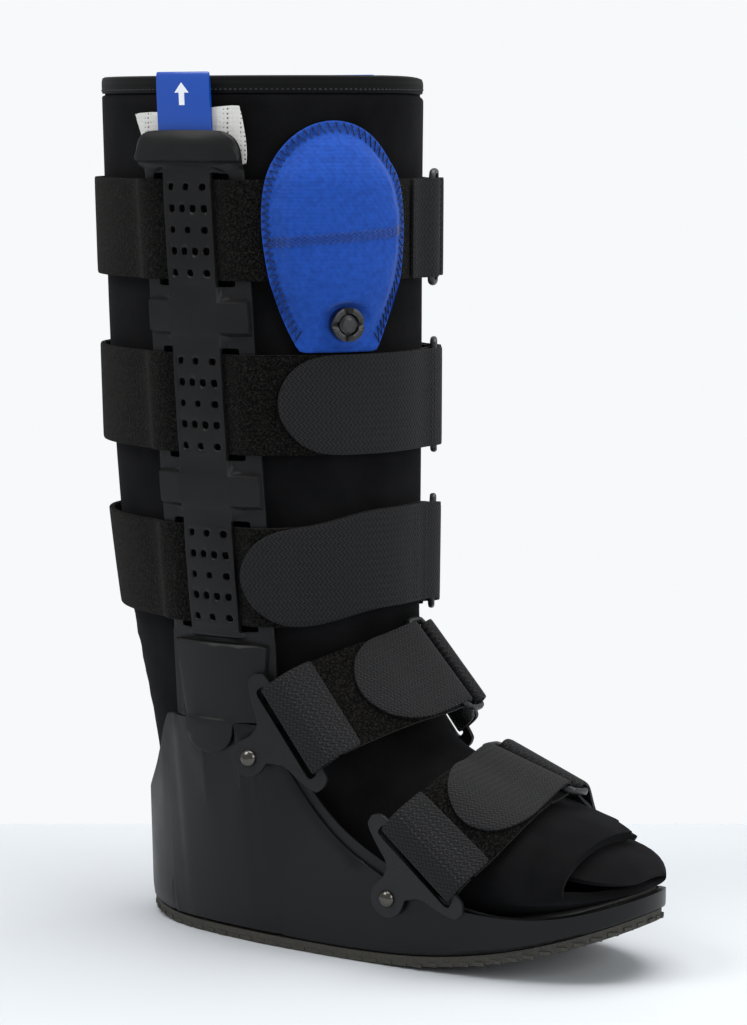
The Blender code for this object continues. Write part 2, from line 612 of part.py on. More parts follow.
# Where the sole, shell and footbed have their sections, as shares of the length from the heel
SHELL_SHARES = (0, 0.0029, 0.0139, 0.0349, 0.0659, 0.0999, 0.1209, 0.1339, 0.1479, 0.1649,
                0.1759, 0.2409, 0.3199, 0.3329, 0.3539, 0.3729, 0.4009, 0.4309, 0.4759, 0.5309,
                0.6499, 0.7709, 0.8609, 0.9259, 0.9709, 0.9934, 1)
SHELL_STOPS = np.array(SHELL_SHARES) * SOLE_LENGTH - HEEL_REACH


def build_shell():
    """Rocker sole plate with walls, a stepped rim, recesses for the tongues and rivet holes."""
    reach = SOLE_LENGTH / 2
    xs = SHELL_STOPS
    columns = []
    for side in (-1, 1):
        row = []
        for x in xs:
            share = (x - SOLE_MIDDLE) / reach
            rim, lip = float(rim_height(x)), float(lip_height(x))
            base = float(sole_drop(x)) + TREAD_THICK + GAP
            column = []
            for inset, z in ((0, base), (0, base + 0.5 * (rim - base)),
                             (0, rim), (SHELL_WALL / 2, rim),
                             (SHELL_WALL / 2, rim + lip), (SHELL_WALL, rim + lip),
                             (SHELL_WALL, base + 0.5 * (rim - base)), (SHELL_WALL, None)):
                px = SOLE_MIDDLE + share * (reach - inset)
                if z is None:
                    z = float(sole_drop(px)) + FLOOR_TOP
                width = float(shell_half_width(px, z, inset)) if abs(share) < 0.9999 else 0.0
                column.append((px, side * width, z))
            row.append(column)
        columns.append(row)
    near, far = columns
    levels = len(near[0])
    points = [p for column in near for p in column] + [p for column in far for p in column]
    offset = len(near) * levels
    faces = []
    for k in range(len(near) - 1):
        for m in range(levels - 1):
            a, b = k * levels + m, (k + 1) * levels + m
            faces.append((a, b, b + 1, a + 1))
            faces.append((a + offset, a + offset + 1, b + offset + 1, b + offset))
        a, b = k * levels, (k + 1) * levels
        faces.append((a, a + offset, b + offset, b))
        a, b = a + levels - 1, b + levels - 1
        faces.append((a, b, b + offset, a + offset))
    return new_object("boot_shell", points, faces, *PLASTIC)


def sole_layer(name, inset, low, high, look):
    """A plate that follows the rocker, between two heights above the tread's underside."""
    reach = SOLE_LENGTH / 2 - inset
    shares = [(x - SOLE_MIDDLE) / (SOLE_LENGTH / 2) for x in SHELL_STOPS]
    points = []
    for share in shares:
        x = SOLE_MIDDLE + share * reach
        y = (SOLE_WIDTH / 2 - inset) * max(0.0, 1.0 - abs(share) ** SOLE_POWER) ** (1 / SOLE_POWER)
        z = float(sole_drop(x))
        points += [(x, -y, z + low), (x, y, z + low), (x, y, z + high), (x, -y, z + high)]
    return new_object(name, points, tube_faces(len(shares), 4), *look)


def tongue_curve(grow=0.0):
    """Lower edge of the tongue from its front corner round to its back corner."""
    half, depth = TONGUE_HALF_WIDTH + grow, 0.8 * TONGUE_HALF_WIDTH
    flat = SHELL_TOP - (TONGUE_DROP - depth)
    return [(TONGUE_SHIFT + half * cos(a), flat - (depth + grow) * sin(a))
            for a in np.linspace(0, pi, 9)]


def tongue_lines(top):
    """Inner edges that let the tongue and its recess follow the curve of the shell."""
    lines = []
    for share in (-0.5, 0.0, 0.5):
        u = TONGUE_SHIFT + TONGUE_HALF_WIDTH * share
        low = SHELL_TOP - TONGUE_DROP + 2.0 + 4.0 * share * share
        lines.append([(u, low), (u, top)])
    return lines


def shell_face(along, z, inset):
    """Point on the near side of the shell above a place round the leg, inset from its face."""
    x = float(leg_wrap(along, SHELL_TOP, 0.0)[0])
    return np.array((x, -float(shell_half_width(x, min(z, SHELL_TOP))) + inset, z))


def cut_shell(shell, plates):
    """Recesses for the two tongues and holes for the four rivet shafts."""
    spare = GAP * 0.9
    loop = tongue_curve(spare)
    high = SHELL_TOP + 3.0
    loop = [(loop[0][0], high)] + loop + [(loop[-1][0], high)]
    cutter = plate("recess_cutter_near", loop, [], lambda u, v: shell_face(u, v, -3.0),
                   lambda u, v: shell_face(u, v, TONGUE_THICK + spare), PLASTIC,
                   tongue_lines(high - 0.5))
    cutters = [cutter, mirrored(cutter, "recess_cutter_far")]
    points, faces = [], []
    for side in (1, -1):
        for frame in plates:
            start = len(points)
            for depth in (2.0, -20.0):
                for a in np.linspace(0, 2 * pi, 12, endpoint=False):
                    radius = RIVET_SHAFT + spare
                    p = frame(PLATE_PIVOT[0] + radius * cos(a), PLATE_PIVOT[1] + radius * sin(a), depth)
                    points.append((p[0], p[1] * side, p[2]))
            faces += tube_faces(2, 12, start)
    cutters.append(new_object("rivet_hole_cutter", points, faces, *PLASTIC))
    for cutter in cutters:
        step = shell.modifiers.new(cutter.name, "BOOLEAN")
        step.operation, step.solver, step.object = "DIFFERENCE", "EXACT", cutter
        cutter.hide_render = True
        cutter.display_type = "WIRE"


def build_uprights():
    """Moulded upright: rails, bridged windows, pads, head, lower block and tongue."""
    windows = [LOW_WINDOW_BASE + k * WINDOW_PITCH for k in range(3)]
    half, bridge, rail = UPRIGHT_HALF_WIDTH, BRIDGE_HALF_WIDTH, RAIL_INNER
    rail_out = GAP + RAIL_THICK
    bridge_in = STRAP_BASE + BAND_THICK + GAP
    bridge_out = bridge_in + BRIDGE_THICK
    groove = UPRIGHT_TOP - 16.0
    head_in = TAB_FRONT + TAB_THICK / 2 + GAP + CURVE_SPARE
    top_window = windows[-1] + WINDOW_HEIGHT
    block_out = ANKLE_HALF_WIDTH - LEG_CURVE_FOOT

    def outer(u, v):
        high = rail_out
        if abs(u) <= bridge + 1e-6 and LOW_WINDOW_BASE - 3 < v < top_window + 2.5:
            high = bridge_out
        for base in windows[1:]:
            low_edge, high_edge = base - 24.0, base - 6.0
            if abs(u) <= half - 2.0 and low_edge + 1.5 <= v <= high_edge - 1.5:
                high = rail_out + PAD_RISE
        if v > top_window + 3.0:
            high = head_in + 1.6
        if v > groove + 1.2:
            high = rail_out + HEAD_RISE * (1.0 if v < UPRIGHT_TOP - 4.0 else 0.7)
            if abs(u) > half - 1.0:
                high = rail_out + HEAD_RISE * 0.7
        if v < LOW_WINDOW_BASE - 6.5:
            inside_panel = abs(u) <= 26.0 - (LOW_WINDOW_BASE - 6.5 - v) * 0.12
            high = block_out if inside_panel else block_out - BLOCK_STEP
        return float(high)

    def inner(u, v):
        low = GAP + CURVE_SPARE
        if v > top_window + 3.0:
            low = head_in
        for base in windows:
            if abs(u) <= bridge + 1e-6 and base + 1.4 < v < base + WINDOW_HEIGHT - 1.4:
                low = bridge_in
        return float(low)

    foot = SHELL_TOP + GAP
    round_ = 11.0
    tongue = tongue_curve()

    def face(u, v, outward):
        if v > foot + 1e-4 or abs(u - TONGUE_SHIFT) > TONGUE_HALF_WIDTH + 0.01:
            return leg_wrap(u, v, outer(u, v) if outward else inner(u, v))
        inset = 0.0 if outward else TONGUE_THICK
        return shell_face(u, v, inset)

    outline = [(18.0, foot), (half, foot), (half, LOW_WINDOW_BASE - 6.5), (half, LOW_WINDOW_BASE)]
    for base in windows:
        outline += [(half, base + 1.5), (half, base + WINDOW_HEIGHT - 1.5)]
        if base != windows[-1]:
            outline += [(half, base + WINDOW_HEIGHT + 6), (half, base + WINDOW_PITCH - 6)]
    outline += [(half, top_window + 2.5), (half, top_window + 3.5), (half, groove),
                (half, groove + 1.5)]
    outline += [(half - round_ + round_ * cos(a), UPRIGHT_TOP - round_ + round_ * sin(a))
                for a in np.linspace(0, pi / 2, 5)]
    left = [(-u, v) for u, v in reversed(outline[1:])]
    outline += [(0.0, UPRIGHT_TOP)] + left + [(tongue[-1][0], foot)] + tongue[::-1]
    outline.append((tongue[0][0], foot))
    holes, lines, dots = [], [], []
    for base in windows:
        top = base + WINDOW_HEIGHT
        for side in (-1, 1):
            slot = [(side * bridge, base), (side * rail, base), (side * rail, base + 27.5),
                    (side * rail, top), (side * bridge, top), (side * bridge, top - 1.5),
                    (side * bridge, base + 27.5), (side * bridge, base + 1.5)]
            holes.append(slot)
        middle = base + WINDOW_HEIGHT / 2
        for row, (count, spread) in enumerate(((3, HOLE_SPREAD_3), (4, HOLE_SPREAD_4),
                                               (3, HOLE_SPREAD_3), (4, HOLE_SPREAD_4),
                                               (3, HOLE_SPREAD_3))):
            v = middle + (row - 2) * HOLE_PITCH
            for k in range(count):
                u = (k - (count - 1) / 2) * spread * (0.82 if count == 4 else 1.0)
                holes.append([(u + HOLE_SIZE * 0.62 * cos(a), v + HOLE_SIZE * 0.62 * sin(a))
                              for a in np.radians((45, 135, 225, 315))])
        for v in (base + 1.5, top - 1.5):
            lines.append([(-bridge, v), (0, v), (bridge, v)])
        for v in (base, top):
            lines.append([(-bridge, v), (0, v), (bridge, v)])
    # steps of the bridge strip, the pads, the head and the block
    for low, high in ((LOW_WINDOW_BASE - 2.9, LOW_WINDOW_BASE), (windows[0] + WINDOW_HEIGHT, windows[1]),
                      (windows[1] + WINDOW_HEIGHT, windows[2]), (top_window, top_window + 2.4)):
        for side in (-1, 1):
            lines.append([(side * bridge, low), (side * bridge, high)])
            lines.append([(side * (bridge + 1.2), low), (side * (bridge + 1.2), high)])
    for v in (LOW_WINDOW_BASE - 4.2, LOW_WINDOW_BASE - 2.9, top_window + 2.4, top_window + 3.6):
        lines.append([(-bridge - 1.2, v), (0, v), (bridge + 1.2, v)])
    for base in windows[1:]:
        for low, high, width in ((base - 24.0, base - 6.0, half - 0.5),
                                 (base - 22.5, base - 7.5, half - 2.0)):
            lines.append([(-width, low), (-bridge, low), (0, low), (bridge, low), (width, low),
                          (width, high), (bridge, high), (0, high), (-bridge, high),
                          (-width, high), (-width, low)])
    for v, reach in ((groove, 1.0), (groove + 1.3, 1.0), (UPRIGHT_TOP - 4.5, 5.5)):
        lines.append([(-half + reach, v), (-14, v), (0, v), (14, v), (half - reach, v)])
    panel = LOW_WINDOW_BASE - 6.6
    lean = (panel - foot) * 0.12
    for grow in (0.0, 1.2):
        lines.append([(-26 + lean - grow, foot + 0.5), (-26 - grow, panel + grow * 0.4),
                      (-13, panel + grow * 0.4), (0, panel + grow * 0.4), (13, panel + grow * 0.4),
                      (26 + grow, panel + grow * 0.4), (26 - lean + grow, foot + 0.5)])
    for v in (foot, foot + 1.4):
        lines.append([(TONGUE_SHIFT + TONGUE_HALF_WIDTH * f, v) for f in (-1.0, -0.5, 0.0, 0.5, 1.0)])
    lines += tongue_lines(foot)
    near = plate("upright_near", outline, holes, lambda u, v: face(u, v, True),
                 lambda u, v: face(u, v, False), PLASTIC, lines, dots)
    mirrored(near, "upright_far")


CLIMB = 34.0               # distance from an upright's middle where a band starts up its rail


def calf_strap(number, window, ring_at, tab_tip, loop_near, front_lift=0.0):
    """Band, webbing loop, ring and hook tab of one calf strap.

    Distances run round the leg from one upright over the front. With loop_near the strap is laid
    the other way round: its sewn loop is on the near side and its tab folds back on the far side.
    """
    middle = LOW_WINDOW_BASE + window * WINDOW_PITCH + WINDOW_HEIGHT / 2
    flip = np.array((1.0, -1.0 if loop_near else 1.0, 1.0))

    def wrap(along, across, out):
        lift = front_lift * float(smooth(min(along, FRONT_RUN - along), 40.0, 90.0))
        return leg_wrap(along, middle + across + lift, out) * flip

    ring_at = FRONT_RUN - ring_at if loop_near else ring_at
    low, high = STRAP_BASE + BAND_THICK / 2, GAP + RAIL_THICK + GAP + BAND_THICK / 2
    under, over = STRAP_BASE + WEB_THICK / 2, STRAP_BASE + BAND_THICK + GAP + WEB_THICK / 2
    bar = STRAP_BASE + BAND_THICK + GAP + RING_BAR
    across = 3 if front_lift else 2
    reach = RING_BAR + GAP + 0.2 + WEB_THICK / 2
    first, second = ring_at - RING_SPAN / 2, ring_at + RING_SPAN / 2
    # hook tab: sewn end under the ring, half turn round the bar, back over the band
    tab = [(first - 11.0, under), (first - 5.0, under)] + round_bar(first, bar, reach, 1)
    tab += [(first - 7.0, bar + reach - 1.8)]
    round_ = STRAP_WIDTH / 2
    straight = first - 15.0 - (tab_tip + round_)
    run = [first - 15.0 - straight * f for f in np.linspace(0.0, 1.0, 2 + int(straight / 11.0))
           if straight > 0][:-1]
    run += [tab_tip + round_ * (1 - sin(radians(a))) for a in (0, 20, 38, 56, 72, 86)
            if tab_tip + round_ * (1 - sin(radians(a))) < first - 14.0]
    tab += [(a, over + float(np.interp(a, (32.5, 41.0), (RAIL_THICK + GAP, 0.0)))) for a in run]
    ribbon("calf_tab_%d" % number, wrap, tab, WEB_THICK, WEBBING, across=across, round_end=True)
    # band: from the tab round the back of the leg to the sewn loop
    rails = [(CLIMB, low), (30.6, high), (21.3, high), (13.9, low), (4.6, low), (-4.6, low),
             (-13.9, low), (-21.3, high), (-30.6, high), (-CLIMB, low)]
    start = first - 11.0 - GAP
    band = [(a, low) for a in np.linspace(start, CLIMB, 2 + int((start - CLIMB) / 11.0))[:-1]] + rails
    spare = CURVE_SPARE if front_lift else 0.0
    band += [(-a, low + spare) for a in np.linspace(CLIMB, BACK_RUN - CLIMB, 15)[1:-1]]
    band += [(-BACK_RUN + a, out) for a, out in rails]
    finish = second + 8.0 + GAP
    left = FRONT_RUN - CLIMB - finish
    band += [(FRONT_RUN - CLIMB - left * f - FRONT_RUN - BACK_RUN, low)
             for f in np.linspace(0.0, 1.0, 2 + int(left / 12.0))[1:]]
    ribbon("calf_band_%d" % number, wrap, band, BAND_THICK, FUZZY, across=across)
    # webbing loop: sewn on the band's far end, round the other bar
    loop = [(second + 18.0, over), (second + 10.0, over), (second + 5.0, bar + reach - 1.4)]
    loop += round_bar(second, bar, reach, -1)[::-1] + [(second + 4.0, under), (second + 8.0, under)]
    ribbon("calf_loop_%d" % number, wrap, loop, WEB_THICK, WEBBING)
    ring("calf_ring_%d" % number, wrap, ring_at, bar, RING_PLASTIC)


FRONT_RUN = float(leg_curve(REF_HEIGHT)[3])
BACK_RUN = float(leg_curve(REF_HEIGHT)[4])
PLATE_MID = STRAP_BASE + WEB_THICK + GAP + PLATE_THICK / 2
BAR_MIDDLE = SLOT_WIDTH / 2 + FRONT_BAR / 2 + 0.5
PLATE_PIVOT = (1.5, -24.2)


def plate_outline():
    """Swivel plate seen flat: two round ends by the slot, a neck and the eye."""
    end, lift = 6.8, 0.5
    points = [(SLOT_HALF + 1.0 + end * cos(a), lift + end * sin(a))
              for a in np.radians((90, 50, 10, -30, -90))]
    points += [(14.0, -9.6), (11.2, -12.0)]
    points += [(PLATE_PIVOT[0] + PLATE_EYE * cos(a), PLATE_PIVOT[1] + PLATE_EYE * sin(a))
               for a in np.radians((38, 6, -26, -58, -90, -122, -154, -186, -220))]
    points += [(-10.4, -12.0), (-13.4, -9.6)]
    points += [(-SLOT_HALF - 1.0 - end * cos(a), lift + end * sin(a))
               for a in np.radians((-90, -30, 10, 50, 90))]
    return points


def plate_frame(wrap):
    """Flat frame of a swivel plate: its bar lies in the strap's loop, its eye on the shell."""
    bar = wrap(BAR_MIDDLE, 0.0, PLATE_MID)
    across = wrap.at(wrap.across, BAR_MIDDLE)
    up = np.array((across[2], 0.0, -across[0]))
    flat = bar + across * PLATE_PIVOT[0] + up * (PLATE_PIVOT[1] - BAR_MIDDLE)
    outline = plate_outline()
    side = -float(shell_half_width(flat[0], flat[2])) - GAP - PLATE_THICK / 2
    for _ in range(40):
        pivot = np.array((flat[0], side, flat[2]))
        rise = bar + across * PLATE_PIVOT[0] - pivot
        rise = rise / np.linalg.norm(rise)
        normal = np.cross(rise, across)
        lack = 0.0
        for u, v in outline:
            p = pivot + across * (u - PLATE_PIVOT[0]) + rise * (v - PLATE_PIVOT[1])
            p = p - normal * PLATE_THICK / 2
            need = 0.0
            if p[2] < float(rim_height(p[0])) + 1.0:
                need = float(shell_half_width(p[0], p[2])) + GAP
            elif SHELL_TOP - 4.0 < p[2] < LOW_WINDOW_BASE:
                edge = p[0] + (p[2] - UPRIGHT_FOOT) * UPRIGHT_LEAN
                if edge < UPRIGHT_HALF_WIDTH + 1.5:
                    face = ANKLE_HALF_WIDTH - LEG_CURVE_FOOT - (BLOCK_STEP if edge > 27.0 else 0.0)
                    need = -leg_wrap(min(edge, UPRIGHT_HALF_WIDTH), p[2], face)[1] + GAP
            lack = max(lack, need + p[1])
        if lack < 0.01:
            break
        side -= lack
    middle = pivot - across * PLATE_PIVOT[0] - rise * PLATE_PIVOT[1]

    def frame(u, v, depth):
        return middle + across * u + rise * v + normal * depth

    return frame


def turned(name, frame, profile, sides, look, middle=(0.0, 0.0), notch=0.0):
    """A solid of revolution from (radius, depth) rings; notch lowers its highest rings in four."""
    points = []
    top = max(depth for _, depth in profile)
    for radius, depth in profile:
        for k in range(sides):
            a = 2 * pi * k / sides
            cut = notch if depth > top - 0.01 and k % (sides // 4) == 0 else 0.0
            points.append(frame(middle[0] + radius * cos(a), middle[1] + radius * sin(a),
                                depth - cut))
    return new_object(name, points, tube_faces(len(profile), sides), *look)


def foot_strap(name, number, wrap, frame):
    """Plates, rivets, webbing loops, band, ring and hook tab of one strap over the foot."""
    low, under = STRAP_BASE + BAND_THICK / 2, STRAP_BASE + WEB_THICK / 2
    over = STRAP_BASE + BAND_THICK + GAP + WEB_THICK / 2
    bar = STRAP_BASE + BAND_THICK + GAP + RING_BAR
    reach = RING_BAR + GAP + 0.2 + WEB_THICK / 2
    first, second = wrap.ring - RING_SPAN / 2, wrap.ring + RING_SPAN / 2
    # near webbing loop round the plate's bar
    wide = PLATE_THICK / 2 + GAP + WEB_THICK / 2
    side = BAR_MIDDLE - FRONT_BAR / 2 - GAP - WEB_THICK / 2
    hook = [(side + 2.6, PLATE_MID + wide), (side + 0.35, PLATE_MID + wide * 0.86), (side, PLATE_MID),
            (side + 0.35, PLATE_MID - wide * 0.86), (side + 2.6, PLATE_MID - wide)]
    end = wrap.end

    def held(along, across, out):
        """The wrap, eased into the flat frame of the plate at either end."""
        p = wrap(along, across, out)
        for distance, flip in ((along, 1.0), (end - along, -1.0)):
            if distance < 15.0:
                flat = frame(across, distance, out - PLATE_MID) * np.array((1.0, flip, 1.0))
                p = flat + (p - flat) * float(smooth(distance, 7.5, 15.0))
        return p

    loop = [(27.0, over), (18.0, over), (12.0, PLATE_MID + wide)] + hook + [(11.0, under), (15.6, under)]
    ribbon(name + "_loop_near", held, loop, WEB_THICK, WEBBING)
    # band up to the ring
    stops = [17.2, 18.0, *np.linspace(27.0, first - 11.0 - GAP, 10)]
    ribbon(name + "_band", wrap, [(a, low) for a in stops], BAND_THICK, FUZZY)
    # hook tab round the ring's first bar and back over the band
    tab = [(first - 11.0, under), (first - 5.0, under)] + round_bar(first, bar, reach, 1)
    tab += [(first - 7.0, bar + reach - 1.8)]
    round_ = STRAP_WIDTH / 2
    tip = wrap.tab
    run = [a for a in stops if tip + 3.0 < a < first - 14.0]
    run += [a for a in (tip + round_ * (1 - sin(radians(b))) for b in (24, 42, 58, 73, 86))
            if min(abs(a - b) for b in run) > 1.0]
    tab += [(a, over) for a in sorted(run, reverse=True)]
    ribbon(name + "_tab", wrap, tab, WEB_THICK, WEBBING, round_end=True)
    ring(name + "_ring", wrap, wrap.ring, bar, RING_PLASTIC)
    # far webbing: one belt round the ring's other bar and the far plate's bar
    far_hook = [(end - a, out) for a, out in hook]
    upper = under + WEB_THICK + GAP
    middle = second + 26.0
    inner = [(a, under) for a in np.linspace(second + 6.0, end - 11.0, 7)]
    outer = [(a, upper) for a in np.linspace(end - 19.0, middle + 1.0, 4)]
    belt = [(middle - 1.0, upper), (second + 14.0, upper), (second + 5.0, bar + reach - 1.4)]
    belt += round_bar(second, bar, reach, -1)[::-1] + inner + far_hook[::-1]
    belt += [(end - 12.0, PLATE_MID + wide - 0.6)] + outer
    ribbon(name + "_loop_far", held, belt, WEB_THICK, WEBBING)
    # plate and rivet, near and far
    half = PLATE_THICK / 2
    slot = [(u, v) for u, v in ((-SLOT_HALF, -1.2), (-SLOT_HALF + 1.3, -SLOT_WIDTH / 2),
                                (SLOT_HALF - 1.3, -SLOT_WIDTH / 2), (SLOT_HALF, -1.2),
                                (SLOT_HALF, 1.8), (SLOT_HALF - 1.0, SLOT_WIDTH / 2 + 0.5),
                                (-SLOT_HALF + 1.0, SLOT_WIDTH / 2 + 0.5), (-SLOT_HALF, 1.8))]
    eye = [(PLATE_PIVOT[0] + (RIVET_SHAFT + GAP) * cos(a), PLATE_PIVOT[1] + (RIVET_SHAFT + GAP) * sin(a))
           for a in np.radians(range(0, 360, 45))]
    made = plate("swivel_plate_%d_near" % number, plate_outline(), [slot, eye],
                 lambda u, v: frame(u, v, half), lambda u, v: frame(u, v, -half), DARK_METAL)
    mirrored(made, "swivel_plate_%d_far" % number)
    pivot = frame(*PLATE_PIVOT, 0.0)
    stand = -pivot[1] - float(shell_half_width(pivot[0], pivot[2]))
    head = half + GAP
    made = turned("rivet_%d_near" % number, frame,
                  [(RIVET_SHAFT, -stand - SHELL_WALL + 1.0), (RIVET_SHAFT, head),
                   (RIVET_HEAD, head), (RIVET_HEAD * 0.84, head + 1.5), (RIVET_HEAD * 0.34, head + 2.6)],
                  8, BRIGHT_METAL, PLATE_PIVOT)
    mirrored(made, "rivet_%d_far" % number)


# Pump pouch and valve

POUCH_WAIST = 48.0         # top down to the widest line
POUCH_TAIL = 80.0          # widest line down to where the full egg would end


def pouch_level(u, v, inset):
    """Squared distance from the egg's centre, 1 on its outline moved in by inset."""
    centre = POUCH_TOP - POUCH_WAIST
    tall = (POUCH_WAIST if v > centre else POUCH_TAIL) - inset
    return ((u - POUCH_CENTRE) / (POUCH_WIDTH / 2 - inset)) ** 2 + ((v - centre) / tall) ** 2


BAND_MIDDLE = LOW_WINDOW_BASE + 2 * WINDOW_PITCH + WINDOW_HEIGHT / 2
POUCH_LEVELS = [BAND_MIDDLE + side * (STRAP_WIDTH / 2 + far) for side, far in
                ((-1, 9.0), (-1, 1.0), (1, 1.0), (1, 9.0))]


def pouch_loop(inset, count, floor):
    """The egg's outline moved in by inset, with a point at each level, cut straight at the floor."""
    centre = POUCH_TOP - POUCH_WAIST
    low = -degrees(np.arcsin(min(1.0, (centre - floor) / (POUCH_TAIL - inset))))
    angles = list(np.linspace(low, 180.0 - low, count))
    for level in POUCH_LEVELS:
        share = (level - centre) / ((POUCH_WAIST if level > centre else POUCH_TAIL) - inset)
        if abs(share) < 0.98 and level > floor + 1.0:
            for a in (degrees(np.arcsin(share)), 180.0 - degrees(np.arcsin(share))):
                near = int(np.argmin([abs(a - b) for b in angles]))
                if 0 < near < len(angles) - 1 and abs(angles[near] - a) < 7.0:
                    angles[near] = a
                else:
                    angles.append(a)
    points = []
    for a in np.radians(sorted(angles)):
        tall = (POUCH_WAIST if sin(a) > 0 else POUCH_TAIL) - inset
        points.append((POUCH_CENTRE + (POUCH_WIDTH / 2 - inset) * cos(a), centre + tall * sin(a)))
    left, right = points[-1], points[0]
    return points + [(left[0] + (right[0] - left[0]) * f, left[1]) for f in (0.25, 0.5, 0.75)]


def pouch_base(v):
    """The pouch bridges the top calf band and lies on the liner above and below it."""
    away = abs(v - BAND_MIDDLE) - STRAP_WIDTH / 2
    lift = STRAP_BASE + BAND_THICK
    return GAP + CURVE_SPARE + lift * (1.0 - float(smooth(away, 1.0, 9.0)))


VALVE_HEIGHT = POUCH_TOP - POUCH_HEIGHT + VALVE_RISE


def pouch_face(u, v):
    near = hypot(u - VALVE_ALONG, v - VALVE_HEIGHT)
    dome = sqrt(max(0.0, 1.0 - pouch_level(u, v, POUCH_FLANGE)))
    dome = POUCH_RISE * min(1.0, dome * 1.25) * float(smooth(v, POUCH_TOP - POUCH_HEIGHT + 1.0, 326.0))
    seat = 3.0
    if near < VALVE_RADIUS + 1.6:
        dome = seat
    return pouch_base(v) + POUCH_EDGE_THICK + dome


def build_pouch():
    floor = POUCH_TOP - POUCH_HEIGHT
    outline = pouch_loop(0.0, 21, floor)
    lines = []
    for inset, count, lift in ((POUCH_FLANGE, 19, 2.0), (POUCH_FLANGE + 6.0, 15, 6.0)):
        loop = pouch_loop(inset, count, floor + lift)
        lines.append(loop + loop[:1])
    for radius in (VALVE_RADIUS + 1.3, VALVE_RADIUS + 4.2):
        loop = [(VALVE_ALONG + radius * cos(a), VALVE_HEIGHT + radius * sin(a))
                for a in np.radians(range(0, 361, 30))]
        lines.append(loop)
    for v in POUCH_LEVELS + [BAND_MIDDLE - 8.0, BAND_MIDDLE + 8.0]:
        tall = POUCH_WAIST if v > POUCH_TOP - POUCH_WAIST else POUCH_TAIL
        span = POUCH_WIDTH / 2 * sqrt(max(0.0, 1.0 - ((v - POUCH_TOP + POUCH_WAIST) / tall) ** 2)) - 0.6
        lines.append([(POUCH_CENTRE + span * f / 3, v) for f in range(-3, 4)])
    plate("pump_pouch", outline, [], lambda u, v: leg_wrap(u, v, pouch_face(u, v)),
          lambda u, v: leg_wrap(u, v, pouch_base(v)), BLUE_CLOTH, lines)
    seat = pouch_face(VALVE_ALONG, VALVE_HEIGHT) + GAP
    centre = leg_wrap(VALVE_ALONG, VALVE_HEIGHT, seat)
    out = leg_wrap(VALVE_ALONG, VALVE_HEIGHT, seat + 1.0) - centre
    side = leg_wrap(VALVE_ALONG + 1.0, VALVE_HEIGHT, seat) - centre
    side = side - out * (side @ out)
    side = side / np.linalg.norm(side)
    up = np.cross(out, side)

    def frame(a, b, depth):
        return centre + side * a + up * b + out * depth

    hole = BUTTON_RADIUS + GAP
    turned("valve_ring", frame, [(VALVE_RADIUS, 0.0), (VALVE_RADIUS, VALVE_TALL), (hole, VALVE_TALL),
                                 (hole, 0.9)], 20, PLASTIC, notch=1.8)
    turned("valve_button", frame, [(BUTTON_RADIUS, 2.9), (BUTTON_RADIUS, VALVE_TALL - 0.6),
                                   (BUTTON_RADIUS * 0.7, VALVE_TALL + 0.5)], 12, PLASTIC)


def build_tabs():
    """Pull tabs and the white mesh sleeves behind the uprights' heads."""
    back, front = TAB_BACK, TAB_FRONT
    turn = (front - back) / 2
    top = TAB_TOP - turn - TAB_THICK / 2
    path = [(UPRIGHT_TOP - 12.0, front), (UPRIGHT_TOP + 2.0, front), (top, front),
            (top + turn, (front + back) / 2), (top, back), (UPRIGHT_TOP - 12.0, back)]
    tab = ribbon("pull_tab_near", lambda v, u, out: leg_wrap(u - 1.5, v, out), path, TAB_THICK,
                 BLUE_GLOSS, half_width=TAB_WIDTH / 2, across=3)
    mirrored(tab, "pull_tab_far")
    low = LOW_WINDOW_BASE + 2 * WINDOW_PITCH + WINDOW_HEIGHT + 4.4
    high = UPRIGHT_TOP + SLEEVE_RISE
    outline = [*((u, low) for u in (-28.0, -19.0, -10.0, 0.0, 10.0, 20.0, 30.0)),
               (31.0, high - 18.0), (28.0, high + 1.0),
               (11.0, high), (0.0, high - 3.0), (-19.0, high - 2.0),
               (-37.0, high - 3.0), (-30.0, high - 18.0)]
    lines = [[(u, low + 1), (u, low + 13.0), (u, high - 5.0)] for u in (-28, -19, -10, 0, 10, 20)]
    sleeve = plate("mesh_sleeve_near", outline, [], lambda u, v: leg_wrap(u, v, SLEEVE_BASE + SLEEVE_THICK),
                   lambda u, v: leg_wrap(u, v, SLEEVE_BASE), WHITE_MESH, lines)
    mirrored(sleeve, "mesh_sleeve_far")


LEG_CURVE_FOOT = float(abs(leg_wrap(0.0, SHELL_TOP, 0.0)[1]))


def main():
    for item in list(bpy.data.objects):
        bpy.data.objects.remove(item, do_unlink=True)
    build_liner()
    shell = build_shell()
    sole_layer("tread_sole", 1.5, 0.0, TREAD_THICK, RUBBER)
    sole_layer("footbed", SHELL_WALL + GAP + 0.3, FLOOR_TOP + GAP, FLOOR_TOP + GAP + FOOTBED_THICK,
               FOAM)
    build_uprights()
    calf_strap(1, 2, 136.0, 40.0, True)
    calf_strap(2, 1, 146.0, 39.0, False)
    calf_strap(3, 0, 146.0, 17.0, False, front_lift=8.0)
    rows = np.linspace(4.0, len(ROW_NAMES) - 1, 76)
    turns = np.linspace(-180.0, 180.0, 61)
    grid = liner_point(rows[:, None], turns[None, :]).reshape(-1, 3)
    faces = [(r * 61 + c, r * 61 + c + 1, (r + 1) * 61 + c + 1, (r + 1) * 61 + c)
             for r in range(75) for c in range(60)]
    tree = BVHTree.FromPolygons([Vector(p) for p in grid], faces)
    frames = []
    for number, (name, values) in enumerate(FOOT_STRAPS.items(), 1):
        wrap = FootWrap(*values, tree)
        frames.append(plate_frame(wrap))
        foot_strap(name, number, wrap, frames[-1])
    cut_shell(shell, frames)
    build_pouch()
    build_tabs()


main()
